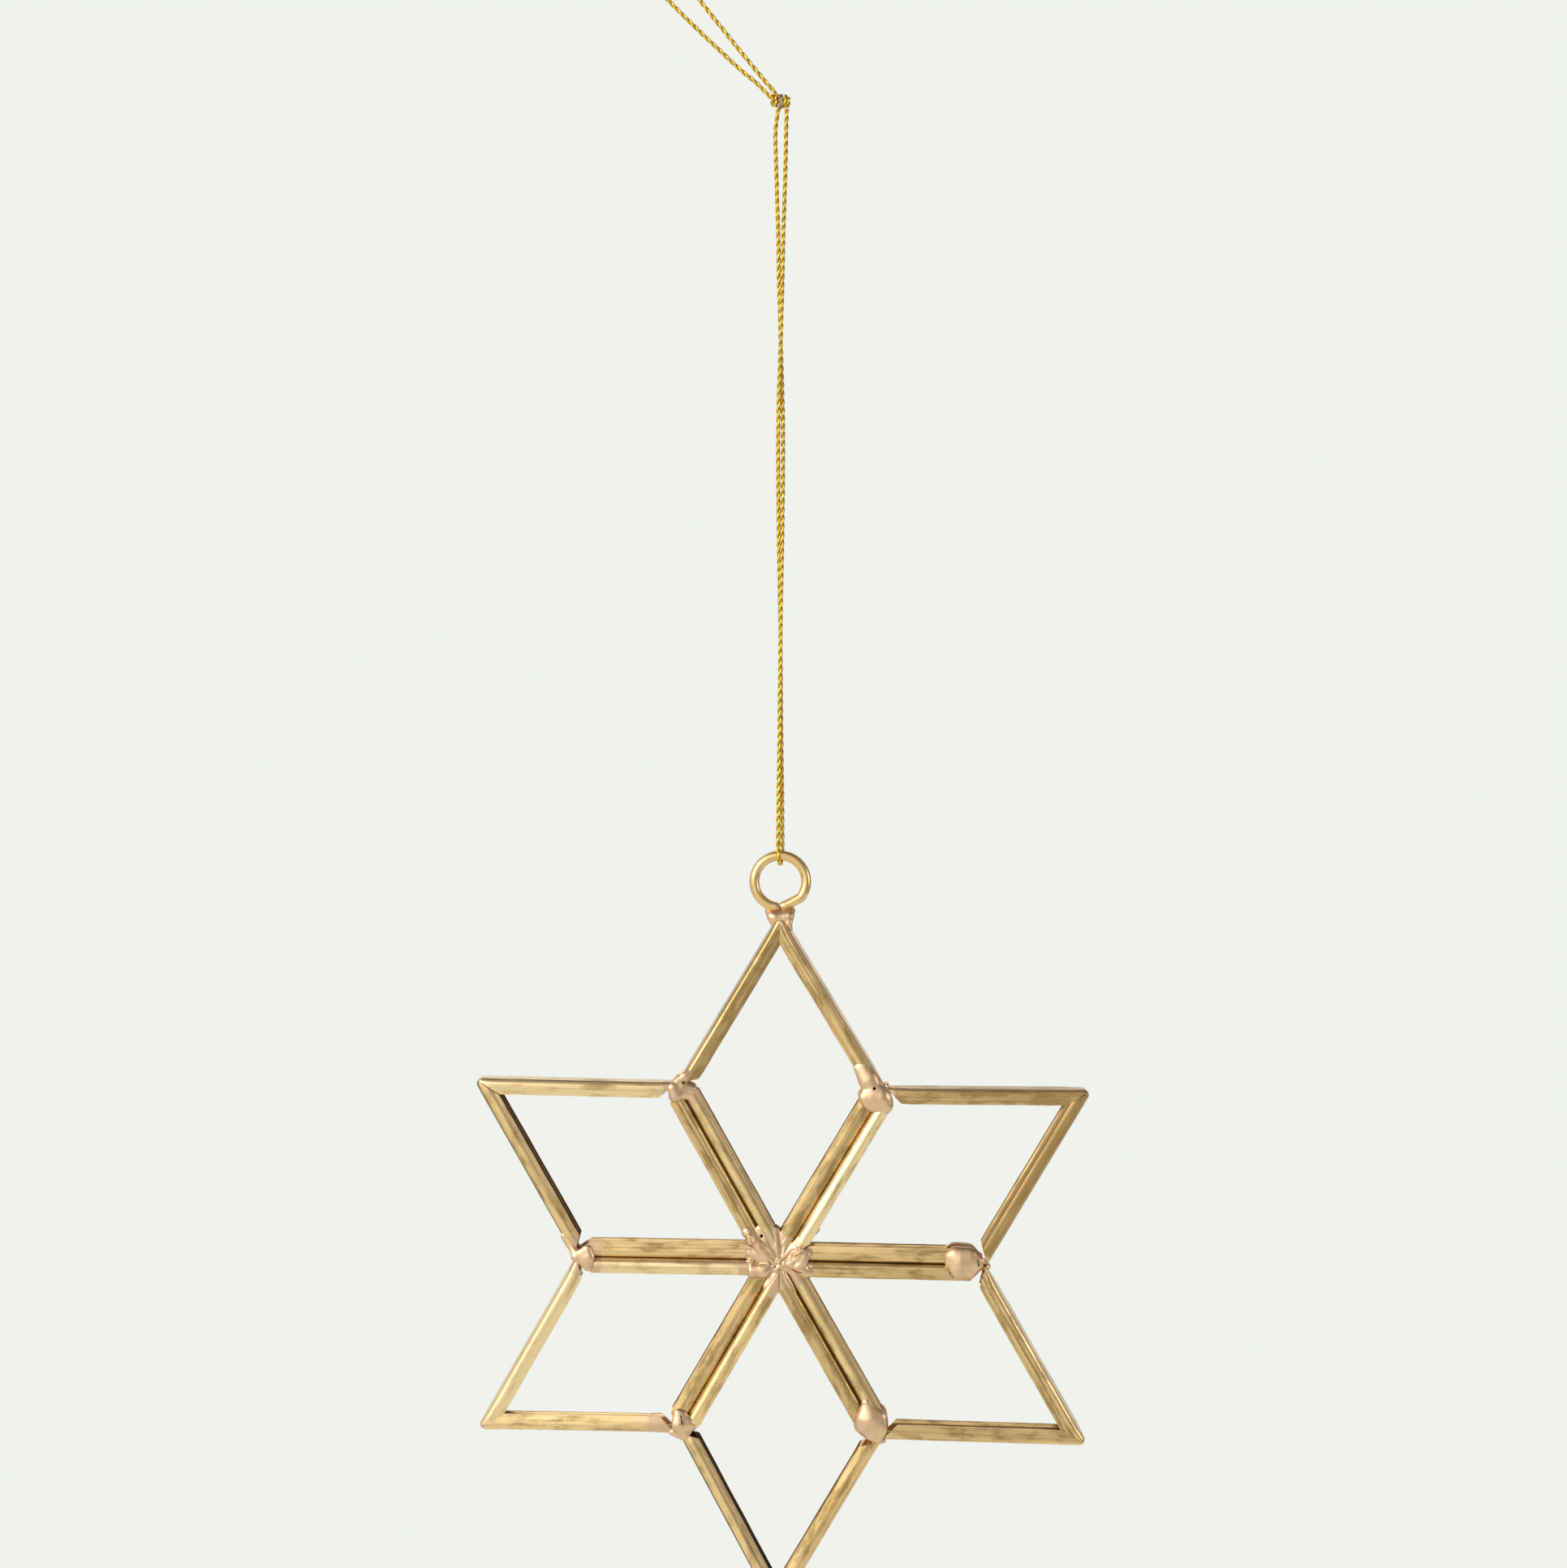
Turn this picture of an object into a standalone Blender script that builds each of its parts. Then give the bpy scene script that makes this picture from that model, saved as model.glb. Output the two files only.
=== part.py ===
"""A hanging star ornament of soldered brass channel, with a wire ring and a gold cord.

Six rhombus frames meet at the star's centre. Each frame is one strip folded into a
U-channel that opens into the rhombus. The star hangs in the XZ plane and faces -Y.
The origin is at the bend of the cord's upper loop, where a hook holds the ornament.
All lengths are in metres.
"""

import math

import bmesh
import bpy
from mathutils import Matrix, Vector

# The star's layout, as lines along the webs' outer faces
STAR_CENTRE = (0.0261, -0.2228)  # across and up from the origin
SIDE_LENGTH = 0.0342  # each side of a frame, from corner to corner
# How far this hand-made star's points and notches lie off the regular ones, across and up
POINTS_OFF = {
    "top": (-0.0001, -0.0010),
    "upper_left": (-0.0003, 0.0011),
    "lower_left": (0.0003, 0.0014),
    "bottom": (-0.0007, -0.0001),
    "lower_right": (0.0003, -0.0013),
    "upper_right": (0.0010, -0.0009),
}
NOTCHES_OFF = {
    "upper_left": (-0.0001, 0.0003),
    "left": (-0.0002, 0.0005),
    "lower_left": (0.0, 0.0008),
    "lower_right": (-0.0001, -0.0002),
    "right": (0.0002, -0.0009),
    "upper_right": (0.0005, -0.0006),
}
# How far the seam between two frames lies off the line from the centre to their notch:
# anticlockwise, at the centre and at the notch
SEAMS_OFF = {
    "upper_left": (0.0007, 0.0003),
    "left": (-0.0002, -0.0003),
    "lower_left": (-0.0004, -0.0003),
    "lower_right": (-0.0002, -0.0002),
    "right": (0.0001, 0.0002),
    "upper_right": (0.0, 0.0001),
}

# The channel that the frames are folded from
BAR_WIDTH = 0.0026  # from the web's outer face to the flanges' free edges
CHANNEL_DEPTH = 0.0035  # over both flanges
SHEET = 0.0003  # thickness of the brass
FOLD_RADIUS = 0.0007  # outside radius between the web and a flange
FOLD_STEPS = 3
SEAM_GAP = 0.0003  # between the webs of two neighbouring frames
POINT_BEND = 0.0010  # outside radius of the web's bend at a point of the star
POINT_STEPS = 4
NOTCH_BEND = 0.0005  # the same at a notch
NOTCH_STEPS = 2
SNIP_SETBACK = 0.0002  # from a notch's inner corner to where the snip in the flanges starts
SNIP_ROOT = 0.00005  # stub of flange that the snips leave on the web
MITRE_GAP = 0.00012  # slit between the mitred flanges at a point
END_GAP = 0.0003  # between a strip's two ends at the star's centre
CORE_ROOM = 0.0011  # how far from the centre the strips' ends are cut off

# Clearance between pieces that touch
TOUCH = 0.0003

# The solder in the notches: on each face a lump, joined outside the webs by a neck
NECK_RADIUS = 0.00032
NECK_BITE = 0.00005  # how far the neck runs into each lump
NECK_COVER = 0.00012  # how far each lump reaches past the neck
# How far in from the notch the lump's middle lies, its half length, half width and height
LUMPS = {
    "upper_left": (0.0014, 0.0014, 0.0018, 0.0008),
    "left": (0.0012, 0.0015, 0.0018, 0.0008),
    "lower_left": (0.0020, 0.0020, 0.0018, 0.0009),
    "lower_right": (0.0036, 0.0033, 0.0027, 0.0012),
    "right": (0.0035, 0.0031, 0.0026, 0.0012),
    "upper_right": (0.0024, 0.0022, 0.0026, 0.0012),
}
BACK_LUMP_SHARE = 0.8  # the lumps on the back are plainer and this much as wide and high
LUMP_SIDES = 20
NECK_SIDES = 10
LUMP_RINGS = (1.0, 0.86, 0.55)
CROWDING = 0.5  # how much closer the lump's sides stand near the neck

# The solder in the middle of the star
CORE_RADIUS = 0.0008
MIDDLE_REACH = 0.0042  # from the centre to the end of an average spoke of the mound
MIDDLE_HEIGHT = 0.0009
MIDDLE_WAVE = 0.0007  # how far the mound reaches out on the spokes and draws in between
MIDDLE_SIDES = 36
CORE_SIDES = 12

# The ring and its solder saddle, which runs up the ring on both sides of its open joint
RING_OUTER = 0.0104  # outside diameter
RING_WIRE = 0.0017
SLIT_WIDTH = 0.00035  # the open joint at the bottom
RING_STEPS = 44
RING_BEVEL_STEPS = 4  # bevel resolution of the wire, which has 12 sides
RING_SIDES = 12
RING_SEAT = 0.0009  # from the top of the star's point to the ring
SADDLE_LEFT_RIM = 33  # degrees from straight down, as far as the solder climbs the ring
SADDLE_RIGHT_RIM = 38
SADDLE_LEFT_SIDE = [(0.0024, 0.0), (0.0018, -0.0007), (0.0016, -0.0017)]
SADDLE_RIGHT_SIDE = [(0.0023, 0.0002), (0.0018, -0.0006), (0.0020, -0.0015)]
SADDLE_FEET = (0.0017, 0.0022)  # how far the left and the right foot reach aside
SADDLE_FOOT_DROP = 0.0025  # from the bottom of the ring down to the feet
SADDLE_FOOT_DEPTH = 0.0032  # front to back at the feet
SADDLE_THIN_SHARE = 0.5  # front to back up the ring at least, as a share of the wire

# The cord and its knot
CORD_DIAMETER = 0.0007
CORD_GAP = 0.0002  # between the cord and the ring's wire
CORD_BEVEL_STEPS = 2  # bevel resolution of both tubes
RING_LOOP_POINTS = 57
HANGING_LOOP_POINTS = 23
KNOT = (0.0261, -0.0285)  # across and up from the origin
# The knot's three turns: middle from the knot, then size, both across, to the back and up
LEFT_TURN = ((-0.0010, 0.0, 0.0001), (0.00125, 0.0016, 0.0018))
MIDDLE_TURN = ((0.0, 0.0, 0.0), (0.0011, 0.0013, 0.0022))
RIGHT_TURN = ((0.0009, 0.0, 0.0), (0.0011, 0.0016, 0.0020))
TURN_SIDES = 14
TURN_RINGS = 8
LEFT_EXIT = 0.0006  # how far right of the left turn's middle the cord comes out below
RIGHT_EXIT = 0.0001

# Route of the doubled cord's left strand from the knot down to the ring. Each row: share of
# the way down, then how far it lies to the right and to the back of the pair's middle line,
# in cord diameters. The right strand lies opposite, so the two wind round each other.
STRAND_ROUTE = [
    (0.03, -1.28, 0.00),
    (0.07, -1.15, 0.00),
    (0.12, -0.89, 0.00),
    (0.17, -0.60, 0.18),
    (0.22, -0.46, 0.37),
    (0.27, -0.21, 0.54),
    (0.32, 0.04, 0.58),
    (0.37, 0.34, 0.48),
    (0.43, 0.58, 0.10),
    (0.49, 0.57, -0.12),
    (0.55, 0.46, -0.37),
    (0.61, 0.30, -0.51),
    (0.68, 0.06, -0.58),
    (0.76, -0.08, -0.58),
    (0.85, -0.24, -0.54),
    (0.92, -0.37, -0.48),
    (0.96, -0.42, -0.55),
    (0.984, -0.42, -0.98),
]
WRAP_ANGLES = (0, 60, 120, 180)  # under the ring's wire, from its front round to its back
WRAP_SPREAD = 0.35  # the strands' offset to each side there, in cord diameters

# Route of the hanging loop, from the knot up the left strand, round the hook and back. Each
# row: share of the way down from the hook to the knot, and how far it lies to the right.
HANGING_ROUTE = [
    (0.950, -0.00076),
    (0.871, -0.00093),
    (0.805, -0.00130),
    (0.711, -0.00163),
    (0.466, -0.00228),
    (0.231, -0.00262),
    (0.140, -0.00278),
    (0.074, -0.00278),
    (0.037, -0.00240),
    (0.010, -0.00142),
    (0.000, 0.00000),
    (0.010, 0.00145),
    (0.037, 0.00248),
    (0.074, 0.00285),
    (0.153, 0.00255),
    (0.258, 0.00203),
    (0.440, 0.00143),
    (0.656, 0.00084),
    (0.845, 0.00041),
    (0.901, 0.00033),
    (0.951, 0.00031),
]

POINT_ORDER = ["top", "upper_left", "lower_left", "bottom", "lower_right", "upper_right"]
NOTCH_ORDER = ["upper_left", "left", "lower_left", "lower_right", "right", "upper_right"]
TOP_ANGLE = 90
STEP_ANGLE = 60
PAST = 0.0005  # how far cutters run past what they cut
SHARP_EDGE = 35  # degrees between faces, from which an edge is shaded sharp
SHARP_SOLDER_EDGE = 50


def polar(angle_deg, reach):
    angle = math.radians(angle_deg)
    return Vector((math.cos(angle), math.sin(angle))) * reach


def layout():
    """The star's centre, points and notches, across and up."""
    centre = Vector(STAR_CENTRE)
    points = {}
    notches = {}
    for i, name in enumerate(POINT_ORDER):
        angle = TOP_ANGLE + STEP_ANGLE * i
        points[name] = centre + polar(angle, SIDE_LENGTH * math.sqrt(3)) + Vector(POINTS_OFF[name])
    for i, name in enumerate(NOTCH_ORDER):
        angle = TOP_ANGLE + STEP_ANGLE * (i + 0.5)
        notches[name] = centre + polar(angle, SIDE_LENGTH) + Vector(NOTCHES_OFF[name])
    return centre, points, notches


def crossing(one, two):
    """Where two lines meet, each given as a point and a direction."""
    (p, u), (q, v) = one, two
    share = (q - p).cross(v) / u.cross(v)
    return p + u * share


class Corner:
    """One corner of a frame's outline, with the lines that meet there."""

    def __init__(self, line_in, line_out, off_in, off_out, bend, steps):
        self.here = crossing(line_in, line_out)
        self.along_in = line_in[1]
        self.along_out = line_out[1]
        self.inward_in = Vector((-self.along_in.y, self.along_in.x))
        self.inward_out = Vector((-self.along_out.y, self.along_out.x))
        self.off_in = off_in
        self.off_out = off_out
        self.bend = bend
        self.steps = steps

    def inset(self, distance):
        """Where the two lines cross when both move this far into the frame."""
        rows = Matrix((self.inward_in, self.inward_out))
        moved = Vector((self.off_in + distance, self.off_out + distance))
        return self.here + rows.inverted() @ moved

    def bisector(self):
        """The direction from the corner into the frame."""
        return (self.inward_in + self.inward_out).normalized()

    def stations(self, distance):
        """The outline's points round this corner, at that distance into the frame."""
        if distance >= self.bend:
            return [self.inset(distance)] * (self.steps + 1)
        middle = self.inset(self.bend)
        start = math.atan2(-self.inward_in.y, -self.inward_in.x)
        turn = self.inward_in.angle_signed(self.inward_out)
        angles = [start - turn * i / self.steps for i in range(self.steps + 1)]
        radius = self.bend - distance
        return [middle + Vector((math.cos(a), math.sin(a))) * radius for a in angles]


def line_through(start, end):
    return start, (end - start).normalized()


def seam(name, centre, notches):
    """Both ends of the seam between two frames: near the centre and at their notch."""
    out = (notches[name] - centre).normalized()
    left = Vector((-out.y, out.x))
    at_centre, at_notch = SEAMS_OFF[name]
    return centre + left * at_centre, notches[name] + left * at_notch


def frame_corners(name, centre, points, notches):
    """A frame's corners, anticlockwise from the star's centre."""
    i = POINT_ORDER.index(name)
    right = NOTCH_ORDER[i - 1]
    left = NOTCH_ORDER[i]
    right_start, right_end = seam(right, centre, notches)
    left_start, left_end = seam(left, centre, notches)
    lines = [
        line_through(right_start, right_end),
        line_through(notches[right], points[name]),
        line_through(points[name], notches[left]),
        line_through(left_end, left_start),
    ]
    offs = [SEAM_GAP / 2, 0.0, 0.0, SEAM_GAP / 2]
    notch = (NOTCH_BEND, NOTCH_STEPS)
    bends = [(0.0, 0), notch, (POINT_BEND, POINT_STEPS), notch]
    corners = []
    for k, (bend, steps) in enumerate(bends):
        corners.append(Corner(lines[k - 1], lines[k], offs[k - 1], offs[k], bend, steps))
    return corners


def fold(radius, depth_sign, outward):
    """A quarter turn between the web and a flange, from web to flange if outward."""
    middle = (FOLD_RADIUS, depth_sign * (CHANNEL_DEPTH / 2 - FOLD_RADIUS))
    found = []
    for i in range(FOLD_STEPS + 1):
        angle = math.pi / 2 * i / FOLD_STEPS
        inset = middle[0] - radius * math.cos(angle)
        depth = middle[1] + depth_sign * radius * math.sin(angle)
        found.append((inset, depth))
    return found if outward else found[::-1]


def channel_profile():
    """The U-section: (distance in from the web's outer face, depth) all the way round."""
    half = CHANNEL_DEPTH / 2
    inner = FOLD_RADIUS - SHEET
    outside = fold(FOLD_RADIUS, -1, False) + fold(FOLD_RADIUS, 1, True)
    inside = fold(inner, 1, False) + fold(inner, -1, True)
    free_edge = [(BAR_WIDTH, half), (BAR_WIDTH, half - SHEET)]
    other_edge = [(BAR_WIDTH, SHEET - half), (BAR_WIDTH, -half)]
    return outside + free_edge + inside + other_edge


def new_object(name, bm, material):
    """Turns a bmesh into an object of that name."""
    bmesh.ops.remove_doubles(bm, verts=bm.verts, dist=1e-7)
    bmesh.ops.recalc_face_normals(bm, faces=bm.faces)
    mesh = bpy.data.meshes.new(name)
    bm.to_mesh(mesh)
    bm.free()
    obj = bpy.data.objects.new(name, mesh)
    bpy.context.scene.collection.objects.link(obj)
    if material:
        mesh.materials.append(material)
    return obj


def shade_round(obj, sharp_deg=SHARP_EDGE):
    obj.data.shade_smooth()
    obj.data.set_sharp_from_angle(angle=math.radians(sharp_deg))


def prism(bm, outline, low, high):
    """Adds the solid between two depths over an outline given across and up."""
    front = [bm.verts.new((p.x, low, p.y)) for p in outline]
    back = [bm.verts.new((p.x, high, p.y)) for p in outline]
    bm.faces.new(front)
    bm.faces.new(back[::-1])
    for i in range(len(outline)):
        j = (i + 1) % len(outline)
        bm.faces.new((front[i], back[i], back[j], front[j]))


def cutter(name, outlines, half_depth):
    """A hidden tool made of straight prisms."""
    bm = bmesh.new()
    for outline in outlines:
        prism(bm, outline, -half_depth, half_depth)
    tool = new_object(name, bm, None)
    tool.hide_render = True
    tool.display_type = "WIRE"
    return tool


def cut(obj, tool, operation="DIFFERENCE"):
    modifier = obj.modifiers.new(tool.name, "BOOLEAN")
    modifier.operation = operation
    modifier.object = tool
    modifier.solver = "EXACT"


def snip_outline(corner):
    """What is snipped out of the flanges at a notch: both ends are cut at 45 degrees."""
    root = SHEET + SNIP_ROOT
    tip = corner.inset(root)
    across = BAR_WIDTH - root + PAST
    near_in = tip - corner.along_in * SNIP_SETBACK
    near_out = tip + corner.along_out * SNIP_SETBACK
    far_in = near_in - corner.along_in * across + corner.inward_in * across
    far_out = near_out + corner.along_out * across + corner.inward_out * across
    return [near_in, tip, near_out, far_out, far_in]


def slit_outline(corner, start, width):
    """A slit along the corner's bisector, from that point to past the flanges."""
    along = corner.bisector()
    side = Vector((-along.y, along.x)) * width / 2
    end = corner.inset(BAR_WIDTH) + along * PAST
    return [start - side, end - side, end + side, start + side]


def ends_outline(corner, centre):
    """Cuts the strip's ends off square before the star's centre, and apart from each other."""
    along = corner.bisector()
    side = Vector((-along.y, along.x))
    offset = (corner.here - centre).dot(side)
    far = (corner.inset(BAR_WIDTH) - centre).dot(along) + PAST
    room = CORE_ROOM * 2
    half = END_GAP / 2
    shape = [
        (-room, -room),
        (CORE_ROOM, -room),
        (CORE_ROOM, offset - half),
        (far, offset - half),
        (far, offset + half),
        (CORE_ROOM, offset + half),
        (CORE_ROOM, room),
        (-room, room),
    ]
    return [centre + along * a + side * s for a, s in shape]


def build_frame(name, centre, points, notches, material):
    """One rhombus frame: the channel swept round its outline, then snipped and slit."""
    corners = frame_corners(name, centre, points, notches)
    profile = channel_profile()
    columns = []
    for inset, depth in profile:
        path = [p for corner in corners for p in corner.stations(inset)]
        columns.append([(p.x, depth, p.y) for p in path])
    bm = bmesh.new()
    verts = [[bm.verts.new(p) for p in column] for column in columns]
    stations = len(columns[0])
    for i in range(len(profile)):
        one = verts[i]
        two = verts[(i + 1) % len(profile)]
        for j in range(stations):
            k = (j + 1) % stations
            bm.faces.new((one[j], one[k], two[k], two[j]))
    frame = new_object("frame_" + name, bm, material)
    shade_round(frame)
    middle, right, point, left = corners
    web_inside = point.inset(POINT_BEND) - point.bisector() * (POINT_BEND - SHEET - SNIP_ROOT)
    outlines = [
        snip_outline(right),
        snip_outline(left),
        slit_outline(point, web_inside, MITRE_GAP),
        ends_outline(middle, centre),
    ]
    cut(frame, cutter("snips_" + name, outlines, CHANNEL_DEPTH / 2 + PAST))
    return frame


def circle(middle, radius, sides):
    return [middle + polar(360 * i / sides, radius) for i in range(sides)]


def add_mound(bm, middle, outline, height, base, side):
    """A low rounded lump on the plane at that depth, on the side of +Y or -Y."""
    count = len(outline)
    rings = []
    for share in LUMP_RINGS:
        rise = height * math.sqrt(1 - share * share)
        ring = []
        for p in outline:
            at = middle.lerp(p, share)
            ring.append(bm.verts.new((at.x, side * (base + rise), at.y)))
        rings.append(ring)
    top = bm.verts.new((middle.x, side * (base + height), middle.y))
    bm.faces.new(rings[0])
    for low, high in zip(rings, rings[1:]):
        for i in range(count):
            j = (i + 1) % count
            bm.faces.new((low[i], low[j], high[j], high[i]))
    for i in range(count):
        bm.faces.new((rings[-1][i], rings[-1][(i + 1) % count], top))


def joined(name, parts, material):
    """One object made of closed bmeshes that overlap."""
    first, *others = parts
    obj = new_object(name, first, material)
    for i, bm in enumerate(others):
        tool = new_object(f"{name}_part_{i + 1}", bm, None)
        shade_round(tool, SHARP_SOLDER_EDGE)
        tool.hide_render = True
        tool.display_type = "WIRE"
        cut(obj, tool, "UNION")
    shade_round(obj, SHARP_SOLDER_EDGE)
    return obj


def lump_outline(middle, long_half, wide_half, neck_at):
    """An oval drawn out to a spout that surrounds the neck."""
    out = neck_at - middle
    start = math.atan2(out.y, out.x)
    cover = NECK_RADIUS + NECK_COVER
    found = []
    for i in range(LUMP_SIDES):
        turn = 2 * math.pi * i / LUMP_SIDES
        away = turn - CROWDING * math.sin(turn)
        reach = 1 / math.hypot(math.cos(away) / long_half, math.sin(away) / wide_half)
        aside = out.length * abs(math.sin(away))
        if math.cos(away) > 0 and aside < cover:
            reach = max(reach, out.length * math.cos(away) + math.sqrt(cover * cover - aside * aside))
        elif math.cos(away) > 0:
            reach = max(reach, cover / abs(math.sin(away)))
        direction = Vector((math.cos(start + away), math.sin(start + away)))
        found.append(middle + direction * reach)
    return found


def build_notch_solder(name, centre, points, notches, material):
    """A lump on each face over the ends of two channels, joined by a neck in the notch."""
    i = NOTCH_ORDER.index(name)
    here = notches[name]
    one = (points[POINT_ORDER[i]] - here).normalized()
    two = (points[POINT_ORDER[(i + 1) % len(POINT_ORDER)]] - here).normalized()
    out = (one + two).normalized()
    half_opening = one.angle(two) / 2
    neck_at = here + out * (TOUCH + NECK_RADIUS) / math.sin(half_opening)
    inward, long_half, wide_half, height = LUMPS[name]
    seam_start, seam_end = seam(name, centre, notches)
    middle = seam_end + (seam_start - seam_end).normalized() * inward
    base = CHANNEL_DEPTH / 2 + TOUCH
    parts = []
    for side, share in ((-1, 1.0), (1, BACK_LUMP_SHARE)):
        bm = bmesh.new()
        outline = lump_outline(middle, long_half * share, wide_half * share, neck_at)
        add_mound(bm, middle, outline, height * share, base, side)
        parts.append(bm)
    neck = bmesh.new()
    prism(neck, circle(neck_at, NECK_RADIUS, NECK_SIDES), -base - NECK_BITE, base + NECK_BITE)
    parts.insert(1, neck)
    return joined("solder_notch_" + name, parts, material)


def build_middle_solder(centre, material):
    """The mounds of solder on both faces where the six frames meet, and the core between."""
    base = CHANNEL_DEPTH / 2 + TOUCH
    parts = []
    for side, share in ((-1, 1.0), (1, BACK_LUMP_SHARE)):
        outline = []
        for i in range(MIDDLE_SIDES):
            angle_deg = 360 * i / MIDDLE_SIDES
            on_spoke = math.cos(math.radians(len(NOTCH_ORDER) * angle_deg))
            reach = (MIDDLE_REACH + MIDDLE_WAVE * on_spoke) * share
            outline.append(centre + polar(angle_deg, reach))
        bm = bmesh.new()
        add_mound(bm, centre, outline, MIDDLE_HEIGHT * share, base, side)
        parts.append(bm)
    core = bmesh.new()
    prism(core, circle(centre, CORE_RADIUS, CORE_SIDES), -base - NECK_BITE, base + NECK_BITE)
    parts.insert(1, core)
    return joined("solder_middle", parts, material)


def top_corner(centre, points, notches):
    return frame_corners("top", centre, points, notches)[2]


def ring_middle(corner):
    """The ring's middle, straight above the top point."""
    top_of_point = corner.inset(POINT_BEND).y + POINT_BEND
    return Vector((corner.here.x, top_of_point + RING_SEAT + RING_OUTER / 2))


def wire_object(name, points, diameter, resolution, material):
    """A round wire or cord along a line of points."""
    curve = bpy.data.curves.new(name, "CURVE")
    curve.dimensions = "3D"
    curve.bevel_depth = diameter / 2
    curve.bevel_resolution = resolution
    curve.use_fill_caps = True
    spline = curve.splines.new("POLY")
    spline.points.add(len(points) - 1)
    for target, p in zip(spline.points, points):
        target.co = (*p, 1.0)
    curve.materials.append(material)
    obj = bpy.data.objects.new(name, curve)
    bpy.context.scene.collection.objects.link(obj)
    return obj


def build_ring(middle, material):
    """A wire ring, open by a slit at its bottom."""
    radius = (RING_OUTER - RING_WIRE) / 2
    half_slit = math.degrees(SLIT_WIDTH / 2 / radius)
    points = []
    for i in range(RING_STEPS + 1):
        angle = -90 + half_slit + (360 - 2 * half_slit) * i / RING_STEPS
        p = middle + polar(angle, radius)
        points.append((p.x, 0.0, p.y))
    return wire_object("hanging_ring", points, RING_WIRE, RING_BEVEL_STEPS, material)


def torus_cutter(name, middle, radius, tube_radius):
    bm = bmesh.new()
    rings = []
    for i in range(RING_STEPS):
        out = polar(360 * i / RING_STEPS, 1.0)
        ring = []
        for j in range(RING_SIDES):
            angle = 2 * math.pi * j / RING_SIDES
            p = middle + out * (radius + tube_radius * math.cos(angle))
            ring.append(bm.verts.new((p.x, tube_radius * math.sin(angle), p.y)))
        rings.append(ring)
    for i in range(RING_STEPS):
        one = rings[i]
        two = rings[(i + 1) % RING_STEPS]
        for j in range(RING_SIDES):
            k = (j + 1) % RING_SIDES
            bm.faces.new((one[j], one[k], two[k], two[j]))
    tool = new_object(name, bm, None)
    tool.hide_render = True
    tool.display_type = "WIRE"
    return tool


def build_saddle(corner, middle, material):
    """The solder that straddles the top point and cups the ring."""
    outside = RING_OUTER / 2
    below = Vector((middle.x, middle.y - outside))
    rim_left = middle + polar(-90 - SADDLE_LEFT_RIM, outside)
    rim_right = middle + polar(-90 + SADDLE_RIGHT_RIM, outside)
    left = [below + Vector((-aside, up)) for aside, up in SADDLE_LEFT_SIDE]
    right = [below + Vector((aside, up)) for aside, up in SADDLE_RIGHT_SIDE]
    foot_left = below + Vector((-SADDLE_FEET[0], -SADDLE_FOOT_DROP))
    foot_right = below + Vector((SADDLE_FEET[1], -SADDLE_FOOT_DROP))
    outline = [rim_left, *left, foot_left, foot_right, *right[::-1], rim_right]
    bm = bmesh.new()
    prism(bm, outline, -RING_WIRE / 2, RING_WIRE / 2)
    spread = (SADDLE_FOOT_DEPTH - RING_WIRE) / 2 / (below.y - foot_left.y)
    thinnest = -(1 - SADDLE_THIN_SHARE) * RING_WIRE / 2
    for vert in bm.verts:
        extra = spread * (below.y - vert.co.z)
        vert.co.y += math.copysign(max(extra, thinnest), vert.co.y)
    bmesh.ops.triangulate(bm, faces=bm.faces)
    saddle = new_object("solder_ring_saddle", bm, material)
    reach = SADDLE_FOOT_DROP * 2
    around = corner.stations(-TOUCH)
    start = around[0] - corner.along_in * reach
    end = around[-1] + corner.along_out * reach
    cut(saddle, cutter("point_room", [[start, *around, end]], SADDLE_FOOT_DEPTH))
    tube = RING_WIRE / 2 + TOUCH
    cut(saddle, torus_cutter("ring_room", middle, (RING_OUTER - RING_WIRE) / 2, tube))
    shade_round(saddle)
    return saddle


def smooth_line(route, count):
    """Points read at even steps from a smooth curve through the route's own points."""
    points = [Vector(p) for p in route]
    points = [2 * points[0] - points[1], *points, 2 * points[-1] - points[-2]]
    knots = [0.0]
    for a, b in zip(points, points[1:]):
        knots.append(knots[-1] + math.sqrt((b - a).length))
    found = []
    for i in range(count):
        at = (len(route) - 1) * i / (count - 1)
        k = min(int(at), len(route) - 2)
        p = points[k : k + 4]
        t = knots[k : k + 4]
        u = t[1] + (at - k) * (t[2] - t[1])
        a1 = p[0].lerp(p[1], (u - t[0]) / (t[1] - t[0]))
        a2 = p[1].lerp(p[2], (u - t[1]) / (t[2] - t[1]))
        a3 = p[2].lerp(p[3], (u - t[2]) / (t[3] - t[2]))
        b1 = a1.lerp(a2, (u - t[0]) / (t[2] - t[0]))
        b2 = a2.lerp(a3, (u - t[1]) / (t[3] - t[1]))
        found.append(b1.lerp(b2, (u - t[1]) / (t[2] - t[1])))
    return found


def strand_ends():
    """Where the doubled cord's two strands leave the knot, just below its outer turns."""
    ends = []
    for (place, size), aside in ((LEFT_TURN, LEFT_EXIT), (RIGHT_TURN, RIGHT_EXIT)):
        low = KNOT[1] + place[2] - size[2] / 2 - TOUCH
        ends.append(Vector((KNOT[0] + place[0] + aside, place[1], low)))
    return ends


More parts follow.
